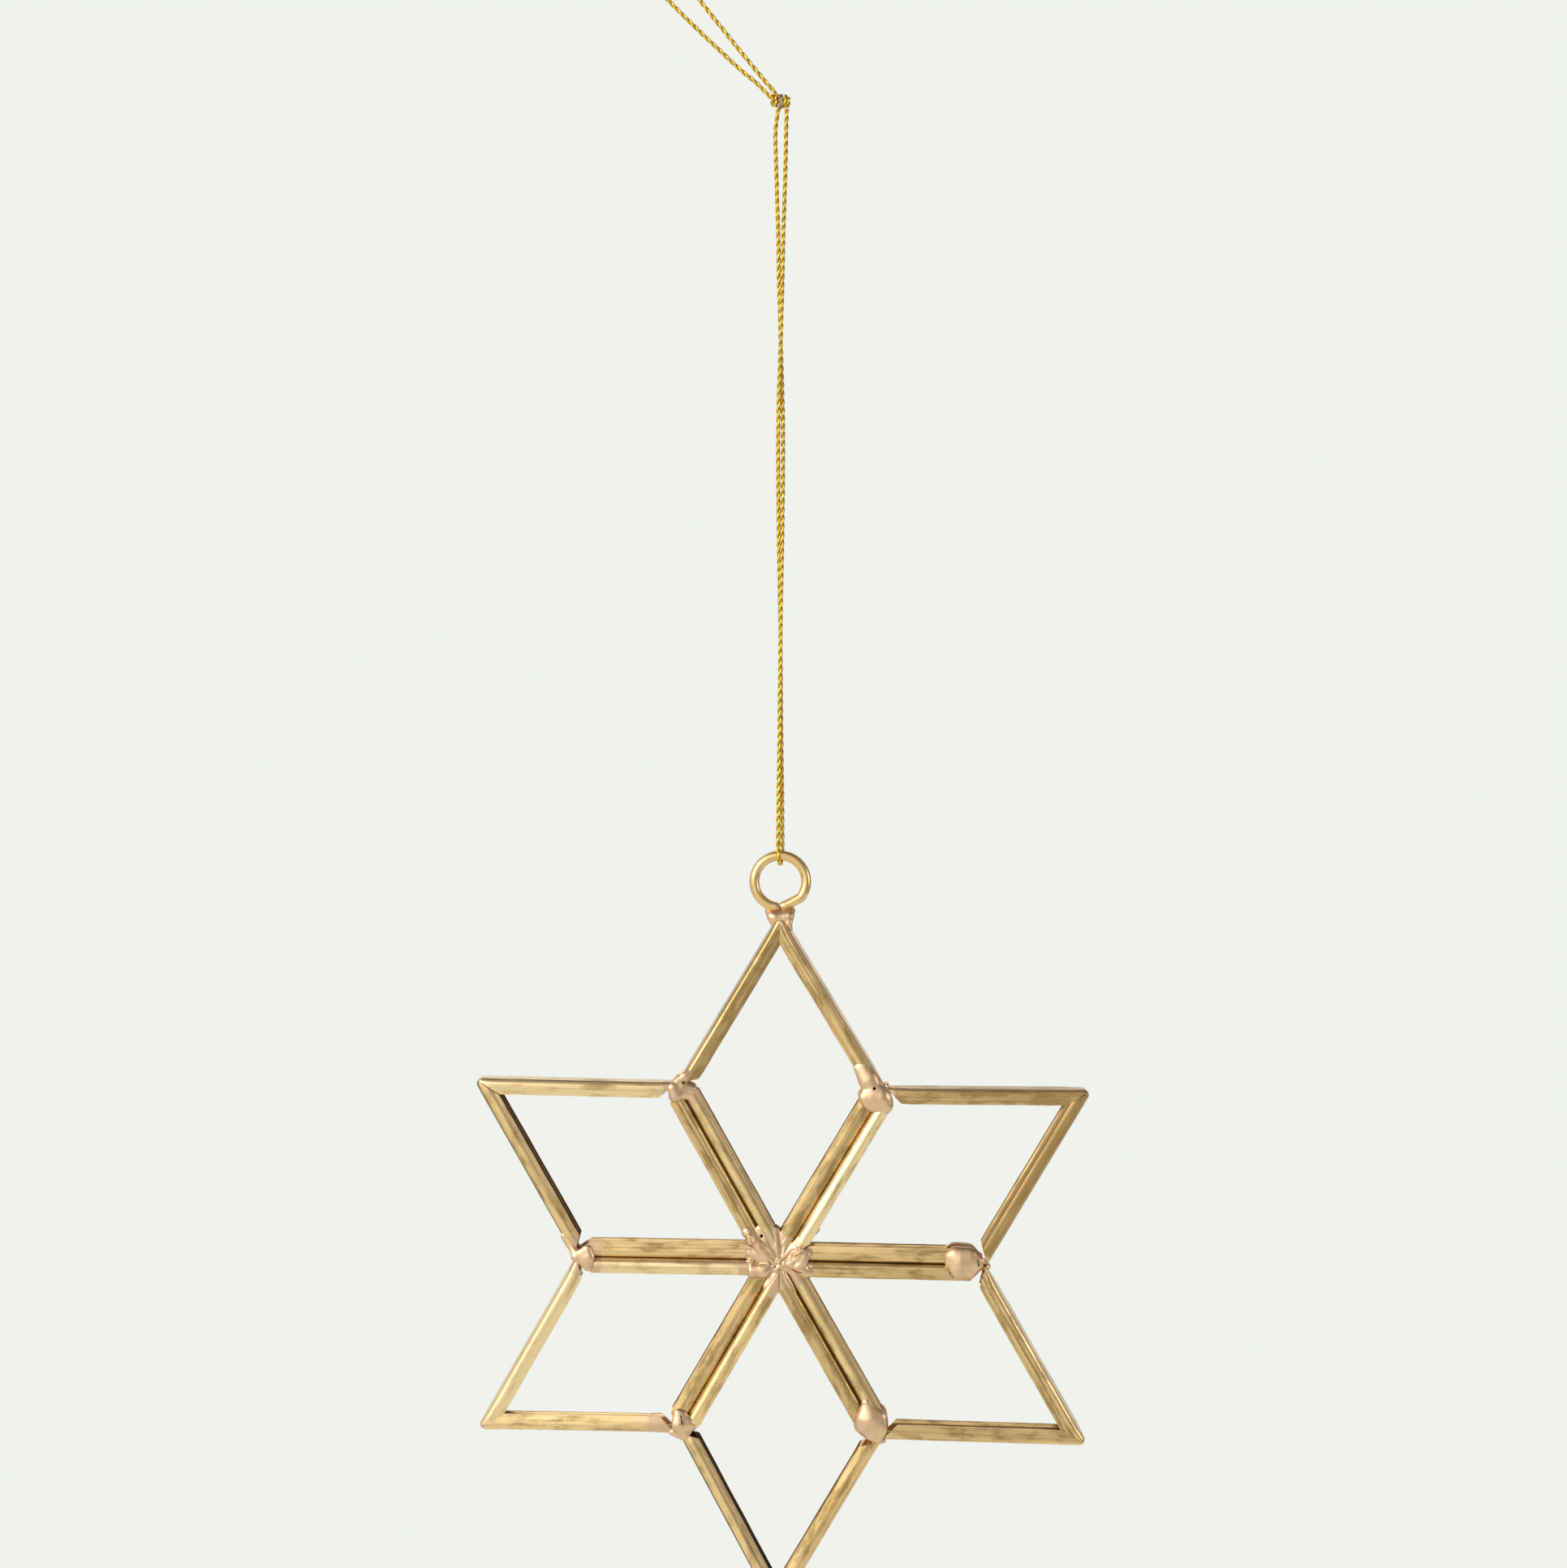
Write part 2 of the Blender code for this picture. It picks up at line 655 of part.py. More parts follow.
def ring_loop_route(middle):
    """From the knot down to the ring, round its wire and back up."""
    start, end = strand_ends()
    wire = Vector((middle.x, 0.0, middle.y + (RING_OUTER - RING_WIRE) / 2))
    top = Vector((KNOT[0], 0.0, max(start.z, end.z)))
    down = []
    back = []
    for share, right, behind in STRAND_ROUTE:
        line = top.lerp(wire, share)
        offset = Vector((right, behind, 0.0)) * CORD_DIAMETER
        down.append(line + offset)
        back.append(line - offset)
    wrap = []
    reach = RING_WIRE / 2 + CORD_GAP + CORD_DIAMETER / 2
    for angle_deg in WRAP_ANGLES:
        angle = math.radians(angle_deg)
        aside = -WRAP_SPREAD * CORD_DIAMETER * math.cos(angle)
        wrap.append(wire + Vector((aside, -reach * math.cos(angle), -reach * math.sin(angle))))
    return [start, *down, *wrap, *back[::-1], end]


def hanging_loop_route():
    """From the knot up to the hook at the origin, round it and back to the knot."""
    knot = Vector(KNOT)
    right = Vector((-knot.y, knot.x)).normalized()
    found = []
    for share, aside in HANGING_ROUTE:
        p = knot * share + right * aside
        found.append((p.x, 0.0, p.y))
    return found


def add_turn(turn):
    """One rounded turn of the knot."""
    place, size = turn
    middle = Vector((KNOT[0], 0.0, KNOT[1])) + Vector(place)
    bm = bmesh.new()
    matrix = Matrix.Translation(middle) @ Matrix.Diagonal((*size, 1.0))
    bmesh.ops.create_uvsphere(bm, u_segments=TURN_SIDES, v_segments=TURN_RINGS, radius=0.5, matrix=matrix)
    return bm


def make_material(name, colour, metallic, roughness):
    material = bpy.data.materials.new(name)
    material.use_nodes = True
    shader = material.node_tree.nodes["Principled BSDF"]
    shader.inputs["Base Color"].default_value = (*colour, 1.0)
    shader.inputs["Metallic"].default_value = metallic
    shader.inputs["Roughness"].default_value = roughness
    return material


def clear_scene():
    for obj in list(bpy.data.objects):
        bpy.data.objects.remove(obj)


def main():
    clear_scene()
    brass = make_material("brass", (0.55, 0.38, 0.17), 1.0, 0.32)
    solder = make_material("solder", (0.62, 0.42, 0.30), 0.9, 0.45)
    gold = make_material("gold_cord", (0.75, 0.52, 0.08), 0.8, 0.35)

    centre, points, notches = layout()
    for name in POINT_ORDER:
        build_frame(name, centre, points, notches, brass)
    for name in NOTCH_ORDER:
        build_notch_solder(name, centre, points, notches, solder)
    build_middle_solder(centre, solder)

    corner = top_corner(centre, points, notches)
    middle = ring_middle(corner)
    build_ring(middle, brass)
    build_saddle(corner, middle, solder)

    ring_loop = smooth_line(ring_loop_route(middle), RING_LOOP_POINTS)
    wire_object("cord_ring_loop", ring_loop, CORD_DIAMETER, CORD_BEVEL_STEPS, gold)
    hanging_loop = smooth_line(hanging_loop_route(), HANGING_LOOP_POINTS)
    wire_object("cord_hanging_loop", hanging_loop, CORD_DIAMETER, CORD_BEVEL_STEPS, gold)
    turns = [add_turn(LEFT_TURN), add_turn(MIDDLE_TURN), add_turn(RIGHT_TURN)]
    joined("cord_knot", turns, gold)


main()
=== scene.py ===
"""Dresses the hanging star ornament: folded brass frames, solder, wire ring and gold cord."""

import math
from collections import namedtuple

import bmesh
import bpy
import numpy as np
from bpy.props import FloatProperty, FloatVectorProperty, PointerProperty
from mathutils import Matrix, Vector, noise


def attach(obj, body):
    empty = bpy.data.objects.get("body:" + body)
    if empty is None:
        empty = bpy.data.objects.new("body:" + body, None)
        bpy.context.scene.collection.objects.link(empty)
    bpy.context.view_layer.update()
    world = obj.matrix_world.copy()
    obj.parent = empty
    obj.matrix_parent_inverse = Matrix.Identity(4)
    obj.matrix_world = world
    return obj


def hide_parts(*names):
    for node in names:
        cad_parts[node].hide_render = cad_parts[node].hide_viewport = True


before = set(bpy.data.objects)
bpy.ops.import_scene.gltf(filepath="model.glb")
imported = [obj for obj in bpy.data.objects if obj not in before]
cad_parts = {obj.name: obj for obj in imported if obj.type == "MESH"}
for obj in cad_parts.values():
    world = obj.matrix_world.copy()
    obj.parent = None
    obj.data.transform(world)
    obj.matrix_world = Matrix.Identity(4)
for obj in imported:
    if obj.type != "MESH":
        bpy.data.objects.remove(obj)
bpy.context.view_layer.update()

bl_info = {
    "name": "Soldered Brass Star",
    "version": (1, 0, 0),
    "blender": (4, 5, 0),
    "location": "3D View > Sidebar > Star",
    "description": "Builds a hanging star of soldered brass channel with a ring and a gold cord",
    "category": "Object",
}

# The star's layout, as in the part's source: across and up from the origin, in metres
STAR_CENTRE = Vector((0.0261, -0.2228))
SIDE_LENGTH = 0.0342  # of a frame, from corner to corner
POINT_ORDER = ["top", "upper_left", "lower_left", "bottom", "lower_right", "upper_right"]
NOTCH_ORDER = ["upper_left", "left", "lower_left", "lower_right", "right", "upper_right"]
POINTS_OFF = {
    "top": (-0.0001, -0.0010),
    "upper_left": (-0.0003, 0.0011),
    "lower_left": (0.0003, 0.0014),
    "bottom": (-0.0007, -0.0001),
    "lower_right": (0.0003, -0.0013),
    "upper_right": (0.0010, -0.0009),
}
NOTCHES_OFF = {
    "upper_left": (-0.0001, 0.0003),
    "left": (-0.0002, 0.0005),
    "lower_left": (0.0, 0.0008),
    "lower_right": (-0.0001, -0.0002),
    "right": (0.0002, -0.0009),
    "upper_right": (0.0005, -0.0006),
}
SEAMS_OFF = {
    "upper_left": (0.0007, 0.0003),
    "left": (-0.0002, -0.0003),
    "lower_left": (-0.0004, -0.0003),
    "lower_right": (-0.0002, -0.0002),
    "right": (0.0001, 0.0002),
    "upper_right": (0.0, 0.0001),
}
SEAM_GAP = 0.00002  # between the webs of two neighbouring frames
POINT_BEND = 0.0010  # outside radius of the web's bend at a point of the star
NOTCH_BEND = 0.0005  # the same at a notch
SNIP_SETBACK = 0.0002  # from a notch's inner corner to where the snip in the flanges starts
SNIP_ROOT = 0.00005  # stub of flange that the snips leave on the web
MITRE_GAP = 0.00012  # slit between the mitred flanges at a point
END_GAP = 0.0003  # between a strip's two ends at the star's centre
CORE_ROOM = 0.0011  # how far from the centre the strips' ends are cut off
RING_SEAT = 0.0009  # from the top of the star's point to the ring
KNOT = Vector((0.0261, 0.0, -0.0285))
PAST = 0.0005  # how far a cutting shape reaches past what it cuts

# Fineness of the meshes
FLANGE_STEPS = 18  # across a flange, from its free edge to the fold
FOLD_STEPS = 7  # round the fold
WEB_STEPS = 7  # across the web, from fold to fold
BEND_STEPS = 8  # round the web's bend at a point
NOTCH_BEND_STEPS = 4  # the same at a notch
BAR_STATIONS = 40  # along a bar
RING_STEPS = 110  # along the ring's wire
RING_SIDES = 24  # round the wire
PLY_SIDES = 10  # round a ply of the cord
TURN_STEPS = 48  # round one turn of the knot
CORD_STEP = 0.00016  # along the cord
TURN_STEP = 0.00012  # along the cord in the knot
SKIN_STEP = 0.11  # in mm, of the solder's skin
SADDLE_STEP = 0.09  # in mm, of the saddle's skin

# The four bars of each frame, anticlockwise from the star's centre, as the photograph shows
# them. Lengths are in mm: crown is the front's rise between its edges, lip how far its free
# edge is turned out, groove a lengthwise dent at groove_at from the web, film_start and
# film_end how far solder washed along the bar. Twist and lean are degrees; tone goes from
# dark -1 to light 1; dark is painted shade in the seam beside the web, rim solder washed
# over the fold, and the last one painted shade inside the channel, each from 0 to 1.
Bar = namedtuple(
    "Bar", "twist crown lean tone lip groove_at groove film_start film_end dark rim inner"
)
BARS = {
    "top": [
        Bar(0, 0.14, 0, -0.45, 0.00, 0.80, 0.08, 5.0, 2.0, 0.0, 0.0, 0.0),
        Bar(9, 0.20, 0, -0.25, 0.03, 0.80, 0.08, 3.6, 2.4, 0.0, 0.9, 0.3),
        Bar(6, 0.05, -3, -0.65, 0.00, 1.60, 0.02, 1.6, 0.8, 0.0, 0.2, 0.2),
        Bar(0, 0.28, 2, 0.10, 0.03, 1.90, 0.05, 4.6, 6.0, 0.75, 0.0, 0.2),
    ],
    "upper_left": [
        Bar(0, 0.18, 0, -0.35, 0.00, 1.20, 0.09, 5.5, 1.2, 0.75, 0.0, 0.1),
        Bar(3, 0.20, 0, 0.25, 0.00, 0.40, 0.04, 2.2, 0.6, 0.0, 0.5, 0.2),
        Bar(-3, 0.26, 1, -0.10, 0.03, 2.00, 0.05, 0.6, 3.6, 0.0, 0.6, 0.85),
        Bar(0, 0.14, 0, -0.15, 0.04, 1.60, 0.05, 4.6, 5.6, 0.45, 0.0, 0.0),
    ],
    "lower_left": [
        Bar(0, 0.42, 4, 0.30, 0.00, 1.80, 0.02, 6.6, 4.2, 0.45, 0.0, 0.2),
        Bar(5, 0.26, 2, 0.35, -0.05, 2.10, 0.06, 2.2, 0.6, 0.0, 0.4, 0.3),
        Bar(8, 0.10, 0, 0.12, 0.02, 0.70, 0.03, 0.6, 4.8, 0.0, 0.5, 0.0),
        Bar(0, 0.14, 0, -0.30, 0.00, 0.80, 0.07, 1.4, 2.4, 0.1, 0.0, 0.0),
    ],
    "bottom": [
        Bar(0, 0.44, 3, 0.05, 0.00, 1.30, 0.05, 5.6, 1.2, 0.05, 0.0, 0.2),
        Bar(0, 0.30, 2, 0.10, 0.05, 1.90, 0.05, 1.0, 0.6, 0.0, 0.3, 1.0),
        Bar(3, 0.24, 0, -0.35, 0.00, 0.85, 0.16, 0.6, 1.0, 0.0, 0.5, 0.0),
        Bar(0, 0.16, 0, -0.50, 0.00, 0.85, 0.06, 2.0, 4.8, 0.6, 0.0, 0.1),
    ],
    "lower_right": [
        Bar(0, 0.32, 3, 0.05, 0.04, 2.20, 0.04, 5.0, 2.2, 0.6, 0.0, 0.1),
        Bar(0, 0.06, -2, -0.25, 0.04, 1.50, 0.03, 0.8, 0.8, 0.0, 0.3, 0.0),
        Bar(9, 0.22, 0, -0.30, 0.00, 1.20, 0.20, 0.8, 1.0, 0.0, 0.8, 0.2),
        Bar(0, 0.18, 0, -0.35, 0.02, 1.20, 0.06, 2.4, 5.2, 1.00, 0.0, 0.2),
    ],
    "upper_right": [
        Bar(0, 0.20, 0, -0.20, 0.03, 1.15, 0.07, 4.8, 1.8, 1.00, 0.0, 0.0),
        Bar(0, 0.10, -3, -0.90, 0.03, 2.10, 0.06, 1.2, 0.6, 0.0, 0.3, 0.0),
        Bar(4, 0.14, 0, -0.60, 0.03, 1.00, 0.05, 0.6, 1.4, 0.0, 0.9, 0.1),
        Bar(0, 0.52, 8, 0.45, 0.00, 1.60, 0.00, 2.2, 4.2, 0.0, 0.0, 0.3),
    ],
}
GROOVE_WIDTH = 0.22  # in mm
FILM_EDGE = 0.8  # in mm, half the width over which washed solder ends
FREE_RUN = (0.0004, 0.0028)  # from a corner, where a bar's own form starts and where it is full
TWIST_RUN = (0.0006, 0.0050)  # the same for its twist
FACE_RUN = (0.0009, 0.0003)  # below a face, where washed rims and the painted shade beside the web start and are full
RIM_RUN = (0.45, 0.10)  # in mm from the web, where a washed rim ends and where it is full
SEAM_SHADE_RUN = (0.30, 0.05)  # the same for the painted shade beside the web
BACK_FLARE = 0.00022  # how far the back flange's inside bends away at its free edge
FLARE_RUN = 0.0008  # over this much of the flange
ROUND_FOLD = 0.7  # how densely the drawing lines follow one another from front to back
FINE_WAVE, LONG_WAVE, EDGE_WAVE = 0.00004, 0.00003, 0.00005  # unevenness left by the hand

# The solder, in mm about the star's centre. Each row is a low bar with round ends on the
# front face: start across and up, end across and up, then radius at start and at end, and
# height above the face at start and at end.
NOTCH_SOLDER = {
    "upper_left": [
        (-18.1, 29.0, -17.6, 27.8, 0.85, 0.95, 1.05, 0.95),
        (-16.9, 28.4, -15.3, 27.8, 1.10, 0.90, 0.60, 0.35),
        (-16.4, 29.3, -14.9, 28.8, 0.75, 0.65, 0.55, 0.35),
        (-17.3, 30.2, -16.5, 30.8, 0.50, 0.38, 0.45, 0.35),
        (-15.9, 31.1, -15.0, 31.7, 0.60, 0.60, 0.40, 0.10),
        (-17.9, 27.4, -17.2, 26.6, 0.60, 0.60, 0.40, 0.05),
    ],
    "left": [
        (-34.3, 0.9, -32.7, 1.9, 0.36, 0.70, 0.50, 0.65),
        (-34.1, 0.8, -32.4, 0.6, 0.50, 0.95, 0.60, 0.80),
        (-34.1, 0.5, -32.3, -0.7, 0.36, 0.60, 0.50, 0.65),
        (-32.2, 2.3, -31.9, 0.9, 0.50, 0.50, 0.75, 0.80),
        (-31.9, 0.9, -32.0, -0.9, 0.50, 0.45, 0.80, 0.60),
        (-34.6, 1.8, -36.0, 4.2, 0.60, 1.10, 0.35, 0.05),
    ],
    "lower_left": [
        (-17.2, -25.3, -17.0, -27.0, 0.80, 0.95, 0.70, 1.05),
        (-17.2, -27.0, -16.2, -28.7, 0.95, 0.70, 1.00, 0.80),
        (-16.3, -25.5, -15.6, -26.9, 0.60, 0.70, 0.50, 0.65),
        (-15.7, -27.0, -16.0, -28.3, 1.00, 0.85, 0.60, 0.55),
        (-14.9, -27.2, -13.9, -26.8, 1.00, 0.90, 0.40, 0.05),
        (-16.4, -29.2, -18.2, -28.6, 0.45, 0.60, 0.40, 0.08),
    ],
    "lower_right": [
        (14.3, -23.6, 14.7, -25.8, 0.90, 1.90, 0.55, 1.05),
        (14.8, -26.4, 15.8, -27.2, 2.25, 1.90, 1.15, 1.05),
        (14.1, -27.2, 15.2, -28.6, 2.00, 1.50, 0.75, 0.65),
        (16.3, -26.2, 16.6, -28.0, 1.50, 1.15, 0.80, 0.70),
        (15.9, -29.0, 16.4, -30.1, 0.85, 0.45, 0.60, 0.40),
    ],
    "right": [
        (29.3, 0.9, 31.3, 0.8, 1.65, 1.60, 0.95, 0.90),
        (29.5, -1.3, 31.3, -1.3, 1.65, 1.55, 0.95, 0.85),
        (30.2, -0.3, 32.2, -0.2, 2.10, 1.40, 1.15, 0.95),
        (28.1, -0.2, 28.0, 0.9, 0.60, 0.50, 0.50, 0.30),
        (33.1, -0.1, 33.6, 0.2, 0.50, 0.34, 0.50, 0.40),
    ],
    "upper_right": [
        (14.3, 27.4, 16.6, 27.3, 1.35, 1.85, 0.85, 1.05),
        (15.1, 26.2, 17.1, 26.1, 1.20, 1.70, 0.65, 0.75),
        (15.4, 28.1, 16.6, 28.1, 0.95, 0.90, 0.75, 0.60),
        (13.6, 32.2, 14.7, 30.2, 1.75, 1.60, 0.32, 0.62),
        (14.7, 30.2, 16.0, 28.9, 1.60, 0.80, 0.62, 0.45),
    ],
}
# Pits and folds cut into that solder: start, end, radius and depth below its top
NOTCH_CUTS = {
    "upper_left": [(-16.25, 30.0, -16.15, 30.0, 0.24, 0.7)],
    "left": [],
    "lower_left": [(-16.6, -25.6, -16.4, -26.9, 0.10, 0.25)],
    "lower_right": [],
    "right": [(27.8, -1.1, 28.6, -2.5, 0.12, 0.5), (32.8, 0.5, 33.0, -0.6, 0.10, 0.3)],
    "upper_right": [(15.55, 29.0, 15.7, 29.05, 0.18, 0.6)],
}
# The middle's solder in the same terms: broad ridges on the pinched ends of the channels
MIDDLE_SOLDER = [
    (-5.6, 4.9, -3.4, 2.3, 1.00, 0.85, 0.45, 0.62),
    (-3.4, 2.3, -1.2, 0.2, 0.85, 0.40, 0.62, 0.25),
    (-5.25, 4.3, -5.05, 3.4, 0.42, 0.55, 1.00, 1.05),
    (-3.4, 5.2, -0.9, 0.7, 1.35, 0.42, 0.10, 0.42),
    (-1.1, 4.9, -0.5, 1.0, 1.25, 0.40, 0.16, 0.46),
    (1.2, 4.7, -0.1, 1.0, 1.35, 0.42, 0.10, 0.40),
    (3.4, 3.6, -0.2, -0.1, 0.95, 0.22, 0.25, 0.42),
    (2.9, 1.8, 2.5, 1.0, 0.90, 0.85, 0.85, 0.82),
    (1.7, 0.2, 1.7, -0.5, 0.80, 0.75, 0.66, 0.62),
    (3.9, 0.8, 3.6, -0.1, 0.90, 0.85, 0.76, 0.74),
    (2.8, -0.9, 3.5, -1.3, 0.85, 0.85, 0.72, 0.70),
    (4.1, -1.7, 5.6, -1.7, 1.00, 1.20, 0.55, 0.02),
    (4.3, 1.3, 5.6, 1.6, 0.95, 1.20, 0.50, 0.02),
    (0.4, -0.5, 4.2, -4.0, 0.26, 1.20, 0.42, 0.02),
    (-0.1, -0.8, 1.9, -5.2, 0.24, 1.10, 0.40, 0.02),
    (-0.6, -1.1, -2.0, -4.2, 0.28, 1.20, 0.46, 0.30),
    (-0.46, -1.3, -0.46, -5.0, 0.36, 0.36, 0.18, 0.14),
    (0.2, -1.15, 0.7, 0.2, 0.48, 0.48, 0.26, 0.30),
    (-4.9, -1.55, -2.9, -1.5, 1.20, 1.15, 0.80, 0.78),
    (-2.9, -1.45, -1.1, -0.3, 1.10, 0.34, 0.78, 0.30),
    (-5.2, 1.3, -1.4, 0.1, 1.20, 0.44, 0.22, 0.46),
    (-5.6, -0.05, -5.1, 0.1, 0.40, 0.40, 0.50, 0.45),
]
MIDDLE_CUTS = [
    (-3.25, 4.35, -3.2, 4.25, 0.26, 0.8),
    (5.0, 0.0, 5.05, 0.0, 0.26, 0.8),
    (-5.95, -0.8, -5.95, -2.4, 0.10, 0.6),
    (3.1, -1.75, 3.3, -1.78, 0.12, 0.5),
]
# Creases between its ridges, in the same terms as the pits
MIDDLE_CREASES = [
    (-1.05, 0.30, -3.2, 2.6, 0.20, 0.40),
    (-0.75, 0.75, -2.1, 3.4, 0.17, 0.36),
    (-0.03, 1.10, 0.25, 2.6, 0.20, 0.42),
    (0.10, -0.10, 1.8, 1.6, 0.19, 0.35),
    (1.80, 1.60, 2.9, 2.1, 0.17, 0.33),
    (0.90, 0.20, 2.6, 1.1, 0.17, 0.33),
    (0.60, -0.80, 2.7, -1.85, 0.17, 0.32),
    (0.00, -1.40, 0.65, -4.3, 0.18, 0.41),
    (0.45, -1.50, 2.7, -3.8, 0.17, 0.37),
    (-0.30, -1.50, -0.40, -5.2, 0.18, 0.34),
    (-1.90, 0.20, -1.2, -0.6, 0.19, 0.36),
    (-1.15, -1.80, -2.3, -3.2, 0.17, 0.36),
    (-5.75, -0.30, -5.7, -2.3, 0.26, 0.56),
]
FLATNESS = 0.7  # how flat the solder's ridges are, against round ones
SUNK = 0.20  # how deep in mm the solder goes below the brass it lies on
BACK_SHARE = 0.8  # how high the back's solder is, against the front's
NOTCH_BLEND = 0.34  # over how many mm the ridges at a notch run together
NECK_BLEND = 0.10  # the same for a notch's two faces and the necks between them
MIDDLE_BLENDS = (0.20, 0.24)  # for the middle's ridges, on the front and on the back
CORE_BLEND = 0.05  # for the middle's two faces and the core between them
CREASE_BLEND = 0.16  # how soft the creases are
PIT_SHADE = (1.3, 1.0)  # how far painted shade reaches round a pit, in its radii, and how dark it is
CREASE_SHADE = (1.5, 0.19)  # the same at a crease
CUT_LEVEL = (0.25, 0.35)  # the cuts' height in mm above a face: always, and times its share
NOTCH_WOBBLE, MIDDLE_WOBBLE = 0.00003, 0.00002  # unevenness of the solder's skin
# The solder between the faces at a notch, outside and inside the webs: its place outward from
# the notch in metres, its radius in mm and how far in mm it ends below the faces
NOTCH_NECKS = ((0.000294, 0.42, 0.4), (-0.0012, 0.8, 0.6))
MIDDLE_CORE = (1.0, 1.2)  # the same in the middle: its radius, and how far it ends below
# The saddle under the ring, in mm from the ring's lowest place, for one face: start and end
# across and up, depth at start and end, radius at start and end.
SADDLE_BARS = [
    (-2.00, 0.30, -1.40, -0.75, 0.30, 0.95, 0.42, 0.56),
    (-1.40, -0.75, -1.20, -1.95, 0.95, 1.22, 0.56, 0.38),
    (1.95, 0.35, 1.50, -0.60, 0.30, 0.95, 0.42, 0.56),
    (1.50, -0.60, 1.40, -1.80, 0.95, 1.22, 0.56, 0.42),
    (1.40, -1.80, 1.85, -2.80, 1.22, 1.22, 0.42, 0.22),
    (-1.20, -0.45, 1.20, -0.45, 0.72, 0.72, 0.72, 0.72),
    (-0.75, -0.80, 0.55, -0.80, 1.22, 1.22, 0.56, 0.50),
]
# Its parts in the middle plane: start and end across and up, radius at both
SADDLE_CORES = [
    (-1.00, -0.25, 1.10, -0.25, 0.85, 0.85),
    (-0.05, 0.10, -0.05, 0.75, 0.34, 0.30),
]
SADDLE_BOX = ((-3.1, -2.3, -3.5), (3.2, 2.3, 1.4))  # the space in which it is formed
SADDLE_BLEND = 0.28  # over how many mm its parts run together

# The ring's wire starts and ends at these degrees; its right end was left nearly straight
# up to another angle, with its tip a little high
RING_ENDS = (-88.0, 268.0)
STRAIGHT_TO = -38
STRAIGHTNESS = 0.85
TIP_LIFT = 0.00005
END_TRIM = 0.10  # how much thinner the wire gets at each of the last two steps to its ends
WIRE_DENTS = 0.012  # unevenness of its thickness, as a share

# Route of the doubled cord's left strand from the knot down to the ring. Each row: share of
# the way down, then how far it lies right and back of the middle line, in cord diameters.
STRAND_ROUTE = [
    (0.03, -1.28, 0.00),
    (0.07, -1.15, 0.00),
    (0.12, -0.89, 0.00),
    (0.17, -0.60, 0.18),
    (0.22, -0.46, 0.37),
    (0.27, -0.21, 0.54),
    (0.32, 0.04, 0.58),
    (0.37, 0.34, 0.48),
    (0.43, 0.58, 0.10),
    (0.49, 0.57, -0.12),
    (0.55, 0.46, -0.37),
    (0.61, 0.30, -0.51),
    (0.68, 0.06, -0.58),
    (0.76, -0.08, -0.58),
    (0.85, -0.24, -0.54),
    (0.92, -0.42, -0.48),
    (0.96, -0.48, -0.55),
    (0.984, -0.50, -0.98),
]
STRAND_STARTS = (Vector((0.0257, 0.0, -0.0296)), Vector((0.0271, 0.0, -0.0298)))
WRAP_ANGLES = (0, 60, 120, 180)  # degrees under the ring's wire, from its front round to its back
WRAP_SPREAD = 0.45  # the strands' offset to each side there, in cord diameters
CORD_GAP = 0.0002  # between the cord and the ring's wire
# Route of the hanging loop. Each row: share of the way down from the hook to the knot, then
# how far in metres it lies to the right of that line.
HANGING_ROUTE = [
    (0.972, -0.00070),
    (0.951, -0.00078),
    (0.871, -0.00093),
    (0.805, -0.00130),
    (0.711, -0.00163),
    (0.466, -0.00228),
    (0.231, -0.00262),
    (0.140, -0.00278),
    (0.074, -0.00278),
    (0.037, -0.00240),
    (0.010, -0.00142),
    (0.000, 0.00000),
    (0.010, 0.00145),
    (0.037, 0.00248),
    (0.074, 0.00285),
    (0.153, 0.00255),
    (0.258, 0.00203),
    (0.440, 0.00143),
    (0.656, 0.00084),
    (0.845, 0.00041),
    (0.901, 0.00033),
    (0.948, 0.00028),
    (0.968, 0.00002),
    (0.981, -0.00032),
]
RING_LOOP_POINTS, HANGING_LOOP_POINTS = 57, 25  # of the routes as they are stated
FINER = 12  # how many times more points are read for the drawn cord
PLIES = 2
PLY = 0.37  # radius of a ply, in cord diameters
PLY_OFFSET = 0.18  # from the cord's middle to a ply's, in cord diameters
PLY_SWELL = 0.12  # unevenness of a ply's thickness, as a share
# Turns of the knot: how far aside of its middle, half depth, half height and how far up
GOLD_TURNS = (
    (-0.00135, 0.00052, 0.00072, 0.0001),
    (-0.00075, 0.00056, 0.00080, 0.0001),
    (0.00072, 0.00056, 0.00082, 0.0000),
    (0.00118, 0.00048, 0.00062, -0.0001),
)
TAN_TURNS = ((-0.00018, 0.00058, 0.00102, 0.0), (0.00018, 0.00058, 0.00102, 0.0))
# How each set is wound: how far its turns lean, thickness and pitch against the cord's, and
# how far in radians the plies are turned on from one turn to the next
KNOT_SETS = ((GOLD_TURNS, 0.00012, 0.92, 0.8, 1.3), (TAN_TURNS, 0.0, 0.62, 0.6, 2.1))

# The stage
LENS = 47.3
EYE = (0.02654, -0.34575, -0.14304)
STAR_MIDDLE = Vector((0.026, 0.0, -0.2))  # where the lamps point
LAMPS = (  # name, place, size and power
    ("left box", (-0.75, -0.75, 0.30), 0.6, 5.0),
    ("right box", (0.95, -0.35, -0.05), 0.4, 1.6),
)
# The studio's light is strongest at the upper left, near the camera, and weaker at both sides.
# Each row: a direction, then how the light grows towards it: from, to, strength at both.
SKY_LIGHTS = [
    ((-0.42, -0.87, 0.26), 0.10, 0.90, 0.07, 0.60),
    ((-0.42, -0.87, 0.26), 0.80, 1.00, 0.0, 1.10),
    ((-0.93, 0.20, 0.30), 0.45, 0.90, 0.0, 0.60),
    ((0.93, 0.20, 0.20), 0.50, 0.90, 0.0, 0.25),
]
